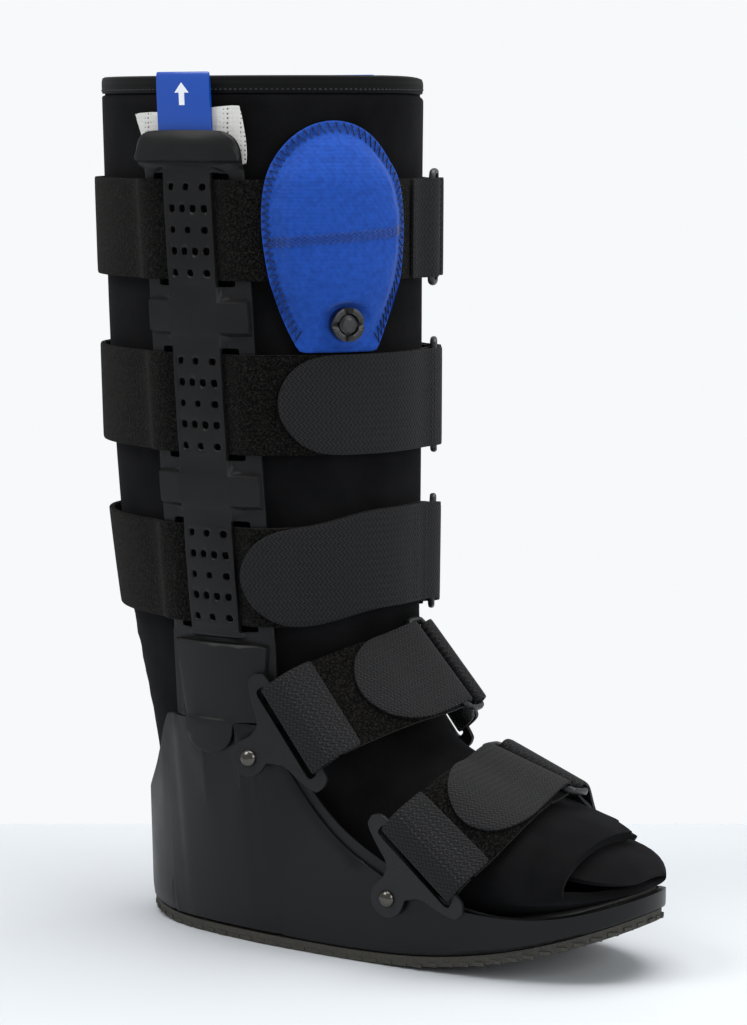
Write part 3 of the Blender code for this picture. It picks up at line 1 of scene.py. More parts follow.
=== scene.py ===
"""Finished look of the tall walker boot: cloth, straps, moulded plastic, metal, stitching and stage.

Every piece follows the CAD node that it replaces. Lengths in tables are millimetres.
"""
import json
import math

import bmesh
import bpy
import numpy as np
from bpy.props import FloatProperty, FloatVectorProperty, IntProperty, PointerProperty
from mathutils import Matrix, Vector
from mathutils.bvhtree import BVHTree

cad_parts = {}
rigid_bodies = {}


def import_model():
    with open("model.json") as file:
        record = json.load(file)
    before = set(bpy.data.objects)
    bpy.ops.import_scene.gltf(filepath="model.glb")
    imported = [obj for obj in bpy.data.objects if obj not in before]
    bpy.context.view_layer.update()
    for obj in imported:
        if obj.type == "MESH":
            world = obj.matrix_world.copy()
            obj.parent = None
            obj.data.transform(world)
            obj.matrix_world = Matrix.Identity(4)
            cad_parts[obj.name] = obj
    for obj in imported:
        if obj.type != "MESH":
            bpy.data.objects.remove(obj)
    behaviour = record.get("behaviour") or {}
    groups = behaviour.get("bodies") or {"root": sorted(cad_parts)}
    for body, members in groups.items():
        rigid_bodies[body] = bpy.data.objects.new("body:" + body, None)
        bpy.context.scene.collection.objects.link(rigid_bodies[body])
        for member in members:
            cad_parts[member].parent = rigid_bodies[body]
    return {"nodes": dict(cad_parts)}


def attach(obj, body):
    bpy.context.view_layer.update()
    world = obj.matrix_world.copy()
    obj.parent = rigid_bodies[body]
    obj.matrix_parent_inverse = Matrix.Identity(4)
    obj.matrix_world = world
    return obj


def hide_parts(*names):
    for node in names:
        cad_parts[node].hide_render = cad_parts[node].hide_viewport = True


bl_info = {
    "name": "Walker boot",
    "version": (1, 0, 0),
    "blender": (4, 5, 0),
    "location": "View3D > Sidebar > Boot",
    "description": "Builds the finished pieces of a tall pneumatic walker boot on its CAD frame",
    "category": "Object",
}

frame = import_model()
NODES = frame["nodes"]
BODY, VALVE_BODY = "boot", "valve_button"
MM = 0.001
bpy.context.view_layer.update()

# Leg sections by height. Columns: z, back_x, front_x, half_width
LEG_ROWS = ((431.0, -109.0, 68.9, 69.0), (372.0, -107.5, 67.4, 69.0), (300.0, -106.1, 67.1, 67.5),
            (240.0, -104.6, 67.1, 66.0), (175.0, -96.4, 66.5, 63.3), (158.0, -92.9, 66.5, 62.1))
UPRIGHT_LEAN, UPRIGHT_FOOT = 0.049, 195.0
REF_HEIGHT, ANCHOR = 272.5, 40.0

# Pump pouch, as distances round the leg and heights
POUCH_CENTRE, POUCH_TOP, POUCH_WAIST, POUCH_TAIL, POUCH_WIDTH = 69.7, 411.0, 48.0, 80.0, 67.6
POUCH_FLOOR = 299.0
SEAM_HEIGHT, SEAM_REACH, SEAM_RISE = 353.0, 31.0, 3.0

# Foot straps: slot middle and its slope in degrees below level
FOOT_STRAPS = {"instep": (45.0, 112.7, 51.4), "forefoot": (115.3, 53.4, 39.0)}
SEWN_ROWS = (13.5, 16.0, 18.5, 21.0, 23.5)      # stitched rows above a foot strap's slot
STITCHED_HALF_WIDTH = 22.5

# Sewn rows of the calf straps: cloth, mid height, places round the leg, rise of the band's front
CALF_ROWS = (("calf_loop_1_cloth", 357.5, (105.0, 107.4, 109.8, 112.2), 0.0),
             ("calf_tab_2_cloth", 272.5, (128.0, 130.2), 0.0),
             ("calf_tab_3_cloth", 187.5, (114.0, 116.5, 124.0), 8.0))
RISE_START, RISE_LENGTH = 40.0, 50.0

# Printed arrow: corners across and up from its foot, and where the foot stands
ARROW = ((-1.6, 0.0), (1.6, 0.0), (1.6, 6.0), (4.2, 6.0), (0.0, 11.0), (-4.2, 6.0), (-1.6, 6.0))
ARROW_ALONG, ARROW_FOOT, ARROW_LIFT, ARROW_DEPTH = -1.5, 418.0, 0.12, 0.1

# Nodes that lie on the liner and hold its padding down
COVER_NAMES = ("calf_band", "calf_tab", "calf_loop", "calf_ring", "upright", "instep", "forefoot",
               "swivel", "boot_shell", "pump_pouch", "mesh_sleeve", "footbed")
COVERS = [name for name in NODES if name.startswith(COVER_NAMES)]

# Camera and stage in metres; lights as name, place, size and power
CAMERA_PLACE, CAMERA_AIM = (0.957, -1.344, 0.412), (-0.555, 0.823, -0.1206)
FLOOR_HEADING, FLOOR_REACH, FLOOR_SIZE, FLOOR_DROP = (-0.559, 0.829, 0.0), 1.875, 6.0, 0.0002
LIGHTS = (("key light", (-0.9, -1.3, 1.9), 1.0, 20.0),
          ("side light", (1.9, -0.4, 0.9), 0.9, 12.0),
          ("top light", (0.2, 0.2, 1.9), 1.6, 34.0))
LIGHT_AIM = (0.0, 0.0, 0.2)
WALL_LIGHT, WALL_SEEN = 0.5, 1.0


# Leg wrap


def leg_section(z):
    """Points round the leg at a height, the distance round, and both lengths between uprights."""
    rows = np.array(LEG_ROWS)[::-1]
    back, front, half = (np.interp(z, rows[:, 0], rows[:, k]) for k in (1, 2, 3))
    side = -(z - UPRIGHT_FOOT) * UPRIGHT_LEAN
    angle = np.radians(np.linspace(90.0, -270.0, 721))
    c = np.cos(angle)
    x = side + np.where(c >= 0, (front - side) * c, (side - back) * c)
    y = -half * np.sin(angle)
    run = np.concatenate(([0.0], np.cumsum(np.hypot(np.diff(x), np.diff(y)))))
    return x, y, run, run[360], run[-1] - run[360]


REF_FRONT, REF_BACK = leg_section(REF_HEIGHT)[3:]


def leg_wrap(along, z, out):
    """Point at a distance round the leg from the near upright, positive to the front, in metres."""
    x, y, run, front, back = leg_section(z)
    marks, place = ([edge + shift for edge in (-b - f, -b, 0.0, f) for shift in (-ANCHOR, ANCHOR)]
                    for f, b in ((REF_FRONT, REF_BACK), (front, back)))
    s = np.interp(along, marks, place) % run[-1]
    px, py = np.interp(s, run, x), np.interp(s, run, y)
    ax, ay = np.interp((s + 2.0) % run[-1], run, x), np.interp((s + 2.0) % run[-1], run, y)
    bx, by = np.interp((s - 2.0) % run[-1], run, x), np.interp((s - 2.0) % run[-1], run, y)
    length = math.hypot(ax - bx, ay - by)
    return Vector((px + (ay - by) / length * out, py - (ax - bx) / length * out, z)) * MM


def lay(tree, along, z, lift=0.2):
    """Point on a finished surface above a place round the leg, lifted off it by some millimetres."""
    start, foot = leg_wrap(along, z, 40.0), leg_wrap(along, z, -12.0)
    spot, normal = tree.ray_cast(start, (foot - start).normalized(), 0.06)[:2]
    return None if spot is None else spot + normal * lift * MM


# Mesh helpers


def cad_copy(*names):
    """A merged copy of CAD nodes with their triangles joined to quads."""
    mesh = bmesh.new()
    for name in names:
        mesh.from_mesh(NODES[name].data)
    bmesh.ops.remove_doubles(mesh, verts=mesh.verts, dist=0.00002)
    bmesh.ops.dissolve_degenerate(mesh, edges=mesh.edges, dist=0.00002)
    bmesh.ops.join_triangles(mesh, faces=mesh.faces, angle_face_threshold=math.radians(38),
                             angle_shape_threshold=math.radians(45))
    return mesh


def crease_corners(mesh, angle, strength, soft_length=0.0):
    """Creases edges sharper than an angle; shorter ones of small holes stay soft."""
    layer = mesh.edges.layers.float.get("crease_edge") or mesh.edges.layers.float.new("crease_edge")
    for edge in mesh.edges:
        if len(edge.link_faces) == 2 and edge.calc_face_angle(0.0) > math.radians(angle):
            small = soft_length and all(f.calc_area() < soft_length ** 2 for f in edge.link_faces)
            edge[layer] = 0.0 if small else strength


def to_object(name, mesh):
    """A scene object from a finished bmesh."""
    data = bpy.data.meshes.new(name)
    mesh.to_mesh(data)
    mesh.free()
    item = bpy.data.objects.new(name, data)
    bpy.context.scene.collection.objects.link(item)
    return item


def bake_modifiers(item):
    """Turns an object and its modifiers into one plain mesh."""
    graph = bpy.context.evaluated_depsgraph_get()
    data = bpy.data.meshes.new_from_object(item.evaluated_get(graph))
    old = item.data
    item.modifiers.clear()
    if item.type == "MESH":
        item.data = data
        bpy.data.meshes.remove(old)
        return item
    name = item.name
    bpy.data.objects.remove(item)
    item = bpy.data.objects.new(name, data)
    bpy.context.scene.collection.objects.link(item)
    return item


def smooth_shade(item, angle):
    """Smooth shading with edges kept sharp above an angle."""
    work = bmesh.new()
    work.from_mesh(item.data)
    for face in work.faces:
        face.smooth = True
    for edge in work.edges:
        edge.smooth = not (len(edge.link_faces) == 2
                           and edge.calc_face_angle(0.0) > math.radians(angle))
    work.to_mesh(item.data)
    work.free()


def subdivide(item, levels):
    """Rounds an object by subdivision, and keeps what its creases hold."""
    step = item.modifiers.new("smooth", "SUBSURF")
    step.levels = step.render_levels = levels
    return bake_modifiers(item)


def finish_piece(item, material, nodes=(), body=BODY, angle=35.0):
    """Material, shading, ride and replaced nodes of one piece."""
    item.data.materials.clear()
    item.data.materials.append(material)
    smooth_shade(item, angle)
    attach(item, body)
    if nodes:
        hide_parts(*nodes)
    return item


def moulded(name, node, material, levels=2, corner=34.0, strength=1.0, body=BODY, hole=0.0):
    """A hard piece: the CAD node's shape with its facets smoothed and its corners kept."""
    mesh = cad_copy(node)
    crease_corners(mesh, corner, strength, hole)
    item = subdivide(to_object(name, mesh), levels)
    return finish_piece(item, material, (node,), body)


def weave_by_leg(item):
    """Stores distance round the leg and height at each point, in metres, for woven patterns."""
    points = np.array([v.co for v in item.data.vertices])
    centre = -(points[:, 2] / MM - UPRIGHT_FOOT) * UPRIGHT_LEAN * MM - 0.012
    around = np.arctan2(points[:, 0] - centre, -points[:, 1]) * 0.072
    store_weave(item, around, points[:, 2])


def weave_by_strap(item, slot_x, slot_z, slope):
    """Stores distances along and across a foot strap at each point."""
    points = np.array([v.co for v in item.data.vertices]) - np.array((slot_x, 0.0, slot_z)) * MM
    c, s = math.cos(math.radians(slope)), math.sin(math.radians(slope))
    across = points @ np.array((-c, 0.0, s))
    up = points @ np.array((s, 0.0, c))
    store_weave(item, np.arctan2(up, -points[:, 1]) * 0.055, across)


def store_weave(item, along, across):
    """Keeps the two distances as the attribute that the woven material reads."""
    layer = item.data.attributes.new("weave", "FLOAT_VECTOR", "POINT")
    layer.data.foreach_set("vector", np.stack((along, across, 0 * along), -1).ravel())


def swell(item, free, pressure, cap, frames=20):
    """Cloth simulation under pressure; free is 0 to 1 for each point, cap the most it moves."""
    group = item.vertex_groups.new(name="held")
    for k, value in enumerate(free):
        group.add([k], float(1.0 - value), "REPLACE")
    before = np.array([v.co for v in item.data.vertices])
    cloth = item.modifiers.new("cloth", "CLOTH")
    settings = cloth.settings
    settings.quality, settings.mass, settings.tension_stiffness = 4, 0.3, 12.0
    settings.compression_stiffness, settings.shear_stiffness, settings.bending_stiffness = 6.0, 4.0, 0.4
    settings.use_pressure, settings.uniform_pressure_force = True, pressure
    settings.vertex_group_mass = "held"
    settings.pin_stiffness = 1.0
    settings.effector_weights.gravity = 0.0
    cloth.collision_settings.use_collision = False
    cloth.point_cache.frame_start, cloth.point_cache.frame_end = 1, frames
    scene = bpy.context.scene
    for number in range(1, frames + 1):
        scene.frame_set(number)
    graph = bpy.context.evaluated_depsgraph_get()
    moved = item.evaluated_get(graph).to_mesh()
    after = np.array([v.co for v in moved.vertices])
    item.modifiers.clear()
    item.vertex_groups.clear()
    scene.frame_set(1)
    shift = after - before
    length = np.linalg.norm(shift, axis=1)
    shift *= (np.minimum(length, cap * free) / np.maximum(length, 1e-9))[:, None]
    item.data.vertices.foreach_set("co", (before + shift).ravel())
    item.data.update()


def nearest(points, names):
    """Distance from each point to the closest of the named CAD nodes, in millimetres."""
    trees = [BVHTree.FromPolygons([v.co for v in NODES[n].data.vertices],
                                  [tuple(p.vertices) for p in NODES[n].data.polygons]) for n in names]
    result = []
    for point in points:
        best = 0.04
        for tree in trees:
            hit = tree.find_nearest(Vector(point), best)
            if hit[0] is not None:
                best = min(best, hit[3])
        result.append(best / MM)
    return np.array(result)


def tree_of(item):
    """Search tree of an object's surface, for rays that lay stitches on it."""
    return BVHTree.FromPolygons([v.co for v in item.data.vertices],
                                [tuple(p.vertices) for p in item.data.polygons])


# Geometry node trees


def socket_id(tree, name):
    """Identifier of a tree's named input."""
    return next(s.identifier for s in tree.interface.items_tree
                if s.item_type == "SOCKET" and s.in_out == "INPUT" and s.name == name)


def start_tree(name, inputs):
    """A new geometry tree with a Geometry socket each way and named inputs."""
    tree = bpy.data.node_groups.new(name, "GeometryNodeTree")
    tree.interface.new_socket("Geometry", in_out="INPUT", socket_type="NodeSocketGeometry")
    for label, (kind, default) in inputs.items():
        made = tree.interface.new_socket(label, in_out="INPUT", socket_type=kind)
        if default is not None:
            made.default_value = default
    tree.interface.new_socket("Geometry", in_out="OUTPUT", socket_type="NodeSocketGeometry")
    return tree, tree.nodes.new("NodeGroupInput"), tree.nodes.new("NodeGroupOutput")


def stitch_tree():
    """Stitches of a set length laid at a pitch along each line."""
    tree, source, target = start_tree("stitch_run", {
        "Pitch": ("NodeSocketFloat", 0.003), "Length": ("NodeSocketFloat", 0.002),
        "Thread": ("NodeSocketFloat", 0.0004), "Thread Material": ("NodeSocketMaterial", None)})
    runs = add(tree, "GeometryNodeResampleCurve", {"Curve": source.outputs["Geometry"],
                                                   "Length": source.outputs["Pitch"]}, mode="LENGTH")
    bead = add(tree, "GeometryNodeMeshUVSphere", {"Radius": source.outputs["Thread"]},
               values={"Segments": 6, "Rings": 4})
    stretch = add(tree, "ShaderNodeMath", {0: source.outputs["Length"], 1: source.outputs["Thread"]},
                  operation="DIVIDE")
    half = add(tree, "ShaderNodeMath", {0: stretch.outputs[0]}, operation="MULTIPLY", values={1: 0.5})
    size = add(tree, "ShaderNodeCombineXYZ", {"Z": half.outputs[0]}, values={"X": 1.0, "Y": 1.0})
    along = add(tree, "GeometryNodeInputTangent")
    turn = add(tree, "FunctionNodeAlignEulerToVector", {"Vector": along.outputs[0]}, axis="Z")
    copies = add(tree, "GeometryNodeInstanceOnPoints",
                 {"Points": runs.outputs[0], "Instance": bead.outputs["Mesh"],
                  "Rotation": turn.outputs[0], "Scale": size.outputs[0]})
    real = add(tree, "GeometryNodeRealizeInstances", {"Geometry": copies.outputs[0]})
    done = add(tree, "GeometryNodeSetMaterial", {"Geometry": real.outputs[0],
                                                 "Material": source.outputs["Thread Material"]})
    tree.links.new(done.outputs[0], target.inputs[0])
    return tree


def thread_tree():
    """A continuous thread of round section along each line."""
    tree, source, target = start_tree("thread_run", {
        "Thread": ("NodeSocketFloat", 0.0004), "Thread Material": ("NodeSocketMaterial", None)})
    section = add(tree, "GeometryNodeCurvePrimitiveCircle", {"Radius": source.outputs["Thread"]},
                  values={"Resolution": 6})
    tube = add(tree, "GeometryNodeCurveToMesh", {"Curve": source.outputs["Geometry"],
                                                 "Profile Curve": section.outputs[0]},
               values={"Fill Caps": True})
    real = add(tree, "GeometryNodeRealizeInstances", {"Geometry": tube.outputs[0]})
    done = add(tree, "GeometryNodeSetMaterial", {"Geometry": real.outputs[0],
                                                 "Material": source.outputs["Thread Material"]})
    tree.links.new(done.outputs[0], target.inputs[0])
    return tree


def lug_tree():
    """Small blocks along a line, turned to follow it."""
    tree, source, target = start_tree("tread_lugs", {
        "Pitch": ("NodeSocketFloat", 0.006), "Width": ("NodeSocketFloat", 0.0055),
        "Depth": ("NodeSocketFloat", 0.0008), "Height": ("NodeSocketFloat", 0.0018),
        "Rubber": ("NodeSocketMaterial", None)})
    runs = add(tree, "GeometryNodeResampleCurve", {"Curve": source.outputs["Geometry"],
                                                   "Length": source.outputs["Pitch"]}, mode="LENGTH")
    size = add(tree, "ShaderNodeCombineXYZ", {
        "X": source.outputs["Width"], "Y": source.outputs["Depth"], "Z": source.outputs["Height"]})
    block = add(tree, "GeometryNodeMeshCube", {"Size": size.outputs[0]})
    along = add(tree, "GeometryNodeInputTangent")
    turn = add(tree, "FunctionNodeAlignEulerToVector", {"Vector": along.outputs[0]}, axis="X",
               pivot_axis="Z")
    copies = add(tree, "GeometryNodeInstanceOnPoints",
                 {"Points": runs.outputs[0], "Instance": block.outputs["Mesh"],
                  "Rotation": turn.outputs[0]})
    real = add(tree, "GeometryNodeRealizeInstances", {"Geometry": copies.outputs[0]})
    done = add(tree, "GeometryNodeSetMaterial", {"Geometry": real.outputs[0],
                                                 "Material": source.outputs["Rubber"]})
    tree.links.new(done.outputs[0], target.inputs[0])
    return tree


def add(tree, kind, links=None, values=None, **settings):
    """Adds one node with its settings, input values and links."""
    node = tree.nodes.new(kind)
    for key, value in settings.items():
        setattr(node, key, value)
    for key, value in (values or {}).items():
        node.inputs[key].default_value = value
    for key, socket in (links or {}).items():
        tree.links.new(socket, node.inputs[key])
    return node


def along_lines(name, lines, tree, values, material, body=BODY):
    """Runs a geometry tree along lists of points and returns the finished piece."""
    curve = bpy.data.curves.new(name, "CURVE")
    curve.dimensions = "3D"
    for line in lines:
        line = [p for p in line if p is not None]
        if len(line) < 2:
            continue
        spline = curve.splines.new("POLY")
        spline.points.add(len(line) - 1)
        spline.points.foreach_set("co", [c for p in line for c in (*p, 1.0)])
    item = bpy.data.objects.new(name, curve)
    bpy.context.scene.collection.objects.link(item)
    step = item.modifiers.new("run", "NODES")
    step.node_group = tree
    for label, value in values.items():
        step[socket_id(tree, label)] = value
    item = bake_modifiers(item)
    return finish_piece(item, material, (), body, 60.0)


# Materials


def linear(code):
    """sRGB hex to linear colour."""
    parts = [int(code[k:k + 2], 16) / 255.0 for k in (0, 2, 4)]
    return [p / 12.92 if p <= 0.04045 else ((p + 0.055) / 1.055) ** 2.4 for p in parts] + [1.0]


def finish(name, colour, roughness, metallic=0.0, sheen=0.0, coat=0.0, specular=0.5, sheen_tint=None):
    """A new Principled material; its constants sit on the shader's own sockets."""
    material = bpy.data.materials.new(name)
    material.use_nodes = True
    tree = material.node_tree
    shader = tree.nodes["Principled BSDF"]
    for key, value in (("Base Color", colour), ("Roughness", roughness), ("Metallic", metallic),
                       ("Sheen Weight", sheen), ("Sheen Roughness", 0.45), ("Coat Weight", coat),
                       ("Specular IOR Level", specular), ("Sheen Tint", sheen_tint or (1, 1, 1, 1))):
        shader.inputs[key].default_value = value
    return material, tree, shader


def per_mm(size):
    """Texture scale for a pattern whose features are this many millimetres."""
    return 1.0 / (size * MM)


def grain(tree, shader, size, strength, depth, detail=3.0, second=None):
    """Bump from noise of one feature size, with an optional second pattern's height added."""
    place = add(tree, "ShaderNodeTexCoord")
    noise = add(tree, "ShaderNodeTexNoise", {"Vector": place.outputs["Object"]},
                {"Scale": per_mm(size), "Detail": detail, "Roughness": 0.65})
    height = noise.outputs["Fac"]
    if second is not None:
        height = add(tree, "ShaderNodeMath", {0: height, 1: second}, operation="ADD").outputs[0]
    bump = add(tree, "ShaderNodeBump", {"Height": height},
               {"Strength": strength, "Distance": depth * MM})
    tree.links.new(bump.outputs[0], shader.inputs["Normal"])
    return place, noise


def two_tone(tree, shader, factor, low, high, start=0.35, stop=0.7, socket="Base Color"):
    """Colour that runs between two hex values as a pattern goes from start to stop."""
    ramp = add(tree, "ShaderNodeValToRGB", {"Fac": factor})
    ramp.color_ramp.elements[0].position, ramp.color_ramp.elements[1].position = start, stop
    ramp.color_ramp.elements[0].color, ramp.color_ramp.elements[1].color = linear(low), linear(high)
    tree.links.new(ramp.outputs[0], shader.inputs[socket])
    return ramp


def brushed_knit():
    # brushed polyester knit over foam: soft and nearly black, with a faint sheen where it turns
    material, tree, shader = finish("brushed polyester knit", linear("070707"), 0.95, sheen=0.05,
                                    specular=0.06, sheen_tint=(0.5, 0.5, 0.55, 1))
    place, noise = grain(tree, shader, 0.9, 0.55, 0.35, 4.0)
    soft = add(tree, "ShaderNodeTexNoise", {"Vector": place.outputs["Object"]},
               {"Scale": per_mm(26.0), "Detail": 2.0})
    two_tone(tree, shader, soft.outputs["Fac"], "0a0a0b", "121213")
    return material


def loop_pile():
    # knitted and brushed loop side of the straps: fuzzy black, with painted highlight where the colour
    # is lighter on the loop tips
    material, tree, shader = finish("polyamide loop pile", linear("060606"), 1.0, sheen=0.09,
                                    specular=0.05, sheen_tint=(0.6, 0.57, 0.55, 1))
    place, noise = grain(tree, shader, 1.1, 1.0, 0.9, 5.0)
    # painted highlight: the noise that raises the loop tips also lightens their colour
    two_tone(tree, shader, noise.outputs["Fac"], "040404", "262422", 0.45, 0.72)
    return material


def hook_weave():
    # woven nylon hook tape: chevron ribs 2 mm apart; the fine pale slopes on its dark face are painted
    # highlight, colour lightened where the ribs stand high
    material, tree, shader = finish("woven nylon hook tape", linear("0c0c0d"), 0.62, sheen=0.04,
                                    specular=0.2)
    weave = add(tree, "ShaderNodeAttribute", attribute_name="weave")
    parts = add(tree, "ShaderNodeSeparateXYZ", {0: weave.outputs["Vector"]})
    fold = add(tree, "ShaderNodeMath", {0: parts.outputs[1]}, {1: 1.6 * MM}, operation="PINGPONG")
    run = add(tree, "ShaderNodeMath", {0: parts.outputs[0], 1: fold.outputs[0]}, operation="ADD")
    turns = add(tree, "ShaderNodeMath", {0: run.outputs[0]}, {1: 2 * math.pi * per_mm(2.0)},
                operation="MULTIPLY")
    wave = add(tree, "ShaderNodeMath", {0: turns.outputs[0]}, operation="SINE")
    half = add(tree, "ShaderNodeMath", {0: wave.outputs[0]}, {1: 0.5, 2: 0.5}, operation="MULTIPLY_ADD")
    grain(tree, shader, 0.7, 0.8, 0.3, 2.0, half.outputs[0])
    # painted highlight: the rib height that drives the bump also lightens the colour on the rib crests
    two_tone(tree, shader, half.outputs[0], "060607", "1a1a1c", 0.2, 0.9)
    return material


def edge_tape():
    # bias-cut polyester tape folded over the liner's edge: smoother and a little shinier
    material, tree, shader = finish("polyester edge tape", linear("0b0b0c"), 0.8, sheen=0.06,
                                    specular=0.12)
    place = add(tree, "ShaderNodeTexCoord")
    rib = add(tree, "ShaderNodeTexWave", {"Vector": place.outputs["Object"]},
              {"Scale": per_mm(9.0), "Distortion": 0.4}, wave_type="BANDS", bands_direction="Z")
    grain(tree, shader, 0.6, 0.5, 0.2, 2.0, rib.outputs["Fac"])
    return material


def shell_plastic(name, low, high, roughness, specular=0.5):
    # injection-moulded polypropylene with a fine spark-eroded grain; it catches broad soft light
    material, tree, shader = finish(name, linear(low), roughness, specular=specular)
    place, noise = grain(tree, shader, 0.5, 0.28, 0.08, 2.0)
    wear = add(tree, "ShaderNodeTexNoise", {"Vector": place.outputs["Object"]},
               {"Scale": per_mm(34.0), "Detail": 4.0, "Roughness": 0.6})
    two_tone(tree, shader, wear.outputs["Fac"], low, high, 0.35, 0.75)
    rough = add(tree, "ShaderNodeMapRange", {"Value": wear.outputs["Fac"]},
                {"From Min": 0.3, "From Max": 0.75, "To Min": roughness - 0.05,
                 "To Max": roughness + 0.08})
    tree.links.new(rough.outputs[0], shader.inputs["Roughness"])
    return material


def sole_rubber():
    # compression-moulded grey-brown rubber: dusty, matt and a little uneven in tone
    material, tree, shader = finish("moulded rubber", linear("4b4843"), 0.85, specular=0.3)
    place, noise = grain(tree, shader, 0.8, 0.4, 0.2, 3.0)
    two_tone(tree, shader, noise.outputs["Fac"], "34332f", "4a4843")
    return material


def insole_foam():
    # closed-cell foam sheet under a thin cloth: soft grey with an olive cast and small pits
    material, tree, shader = finish("EVA foam", linear("3a3a34"), 0.92, sheen=0.15, specular=0.2)
    place, noise = grain(tree, shader, 1.0, 0.6, 0.3, 4.0)
    two_tone(tree, shader, noise.outputs["Fac"], "262622", "3b3b34", 0.4, 0.65)
    return material


def plate_steel():
    # stamped steel with a baked dark coat: satin, with a dull metal glint on its edges
    material, tree, shader = finish("dark coated steel", linear("1d1e1f"), 0.42, metallic=0.55)
    place, noise = grain(tree, shader, 0.7, 0.15, 0.05, 2.0)
    two_tone(tree, shader, noise.outputs["Fac"], "191a1b", "242526")
    return material


def rivet_steel():
    # headed and polished rivet with a dark plate: one small bright highlight on the dome
    material, tree, shader = finish("polished dark rivet steel", linear("55534f"), 0.2, metallic=1.0)
    grain(tree, shader, 1.5, 0.08, 0.04, 1.0)
    return material


def ring_acetal():
    # injection-moulded ring: dark grey with a satin skin that shows its round section
    material, tree, shader = finish("moulded acetal", linear("252627"), 0.38)
    place, noise = grain(tree, shader, 0.9, 0.12, 0.05, 2.0)
    two_tone(tree, shader, noise.outputs["Fac"], "202122", "2b2c2d")
    return material


def blue_neoprene():
    # royal blue jersey bonded to neoprene: fine knit about 2 mm apart, with soft uneven shading
    material, tree, shader = finish("blue jersey neoprene", linear("0f3f92"), 0.85, sheen=0.12,
                                    specular=0.25, sheen_tint=(0.5, 0.65, 1.0, 1))
    place = add(tree, "ShaderNodeTexCoord")
    columns = add(tree, "ShaderNodeTexWave", {"Vector": place.outputs["Object"]},
                  {"Scale": per_mm(7.2), "Distortion": 1.2, "Detail Scale": 2.0},
                  wave_type="BANDS", bands_direction="DIAGONAL")
    rows = add(tree, "ShaderNodeTexWave", {"Vector": place.outputs["Object"]},
               {"Scale": per_mm(6.0), "Distortion": 1.0}, wave_type="BANDS", bands_direction="Z")
    both = add(tree, "ShaderNodeMath", {0: columns.outputs["Fac"], 1: rows.outputs["Fac"]},
               operation="MULTIPLY")
    grain(tree, shader, 0.8, 0.5, 0.25, 3.0, both.outputs[0])
    shade = add(tree, "ShaderNodeTexNoise", {"Vector": place.outputs["Object"]},
                {"Scale": per_mm(3.0), "Detail": 3.0})
    two_tone(tree, shader, shade.outputs["Fac"], "103f94", "1749a6", 0.35, 0.65)
    return material


def blue_film():
    # coated satin ribbon: smooth and glossy, with soft waves from handling
    material, tree, shader = finish("blue satin ribbon", linear("0b47a8"), 0.32, coat=0.2)
    grain(tree, shader, 14.0, 0.25, 0.5, 1.0)
    return material


def white_cloth():
    # thin bonded cloth with small punched holes 2.2 mm apart: white with grey dots
    material, tree, shader = finish("punched white non-woven", linear("c9c8c4"), 0.85, sheen=0.1)
    place = add(tree, "ShaderNodeTexCoord")
    dots = add(tree, "ShaderNodeTexVoronoi", {"Vector": place.outputs["Object"]},
               {"Scale": per_mm(2.2), "Randomness": 0.15})
    two_tone(tree, shader, dots.outputs["Distance"], "55534f", "d2d1cd", 0.16, 0.3)
    grain(tree, shader, 2.0, 0.5, 0.4, 2.0, dots.outputs["Distance"])
    return material


def thread(name, colour):
    # twisted and dyed polyester thread: matt, with a faint sheen along its turns
    material, tree, shader = finish(name, colour, 0.6, sheen=0.2, specular=0.35)
    grain(tree, shader, 0.5, 0.4, 0.1, 1.0)
    return material


def white_ink():
    # screen-printed ink on the ribbon: flat, clean white
    material, tree, shader = finish("white screen print", linear("e9eef4"), 0.5)
    grain(tree, shader, 1.5, 0.1, 0.05, 1.0)
    return material


def studio_paint():
    # rolled matt paint of the studio floor: pale and even, so that only shadows show
    material, tree, shader = finish("pale studio floor", linear("d3d7db"), 0.6, specular=0.3)
    grain(tree, shader, 4.0, 0.02, 0.1, 1.0)
    return material


# Settings shown in the sidebar


class BootSizes(bpy.types.PropertyGroup):
    bulge: FloatProperty(name="Padding swell", description="How far free padding stands out",
                         default=5.0 * MM, unit="LENGTH", min=0.0, max=0.006)
    pressure: FloatProperty(name="Swell pressure", description="Cloth pressure of padded pieces",
                            default=6.0, min=0.0)
    frames: IntProperty(name="Swell frames", description="Length of the cloth simulation", default=20)
    pitch: FloatProperty(name="Stitch pitch", description="Distance from stitch to stitch",
                         default=2.6 * MM, unit="LENGTH")
    stitch: FloatProperty(name="Stitch length", description="Visible length of one stitch",
                          default=1.5 * MM, unit="LENGTH")
    thread: FloatProperty(name="Thread radius", description="Half thickness of sewing thread",
                          default=0.35 * MM, unit="LENGTH")
    overlock: FloatProperty(name="Overlock pitch", description="Width of one zigzag round the pouch",
                            default=3.5 * MM, unit="LENGTH")
    lug_pitch: FloatProperty(name="Tread lug pitch", description="Distance between tread blocks",
                             default=8.5 * MM, unit="LENGTH")
    lens: FloatProperty(name="Lens", description="Camera focal length", default=114.2, unit="CAMERA")


class BootColours(bpy.types.PropertyGroup):
    black_thread: FloatVectorProperty(name="Black thread", description="Seams of the straps and tape",
                                      subtype="COLOR", size=4, default=linear("1c1c1f"))
    backdrop: FloatVectorProperty(name="Backdrop", description="Colour of the surrounding light",
                                  subtype="COLOR", size=4, default=linear("f7f9fb"))


class PieceOperator:
    """Shared run of every piece's operator; an error in a build stops the script"""
    bl_options = {"REGISTER", "UNDO"}

    def execute(self, context):
        self.build(context.scene.boot_sizes, context.scene.boot_colours)
        return {"FINISHED"}


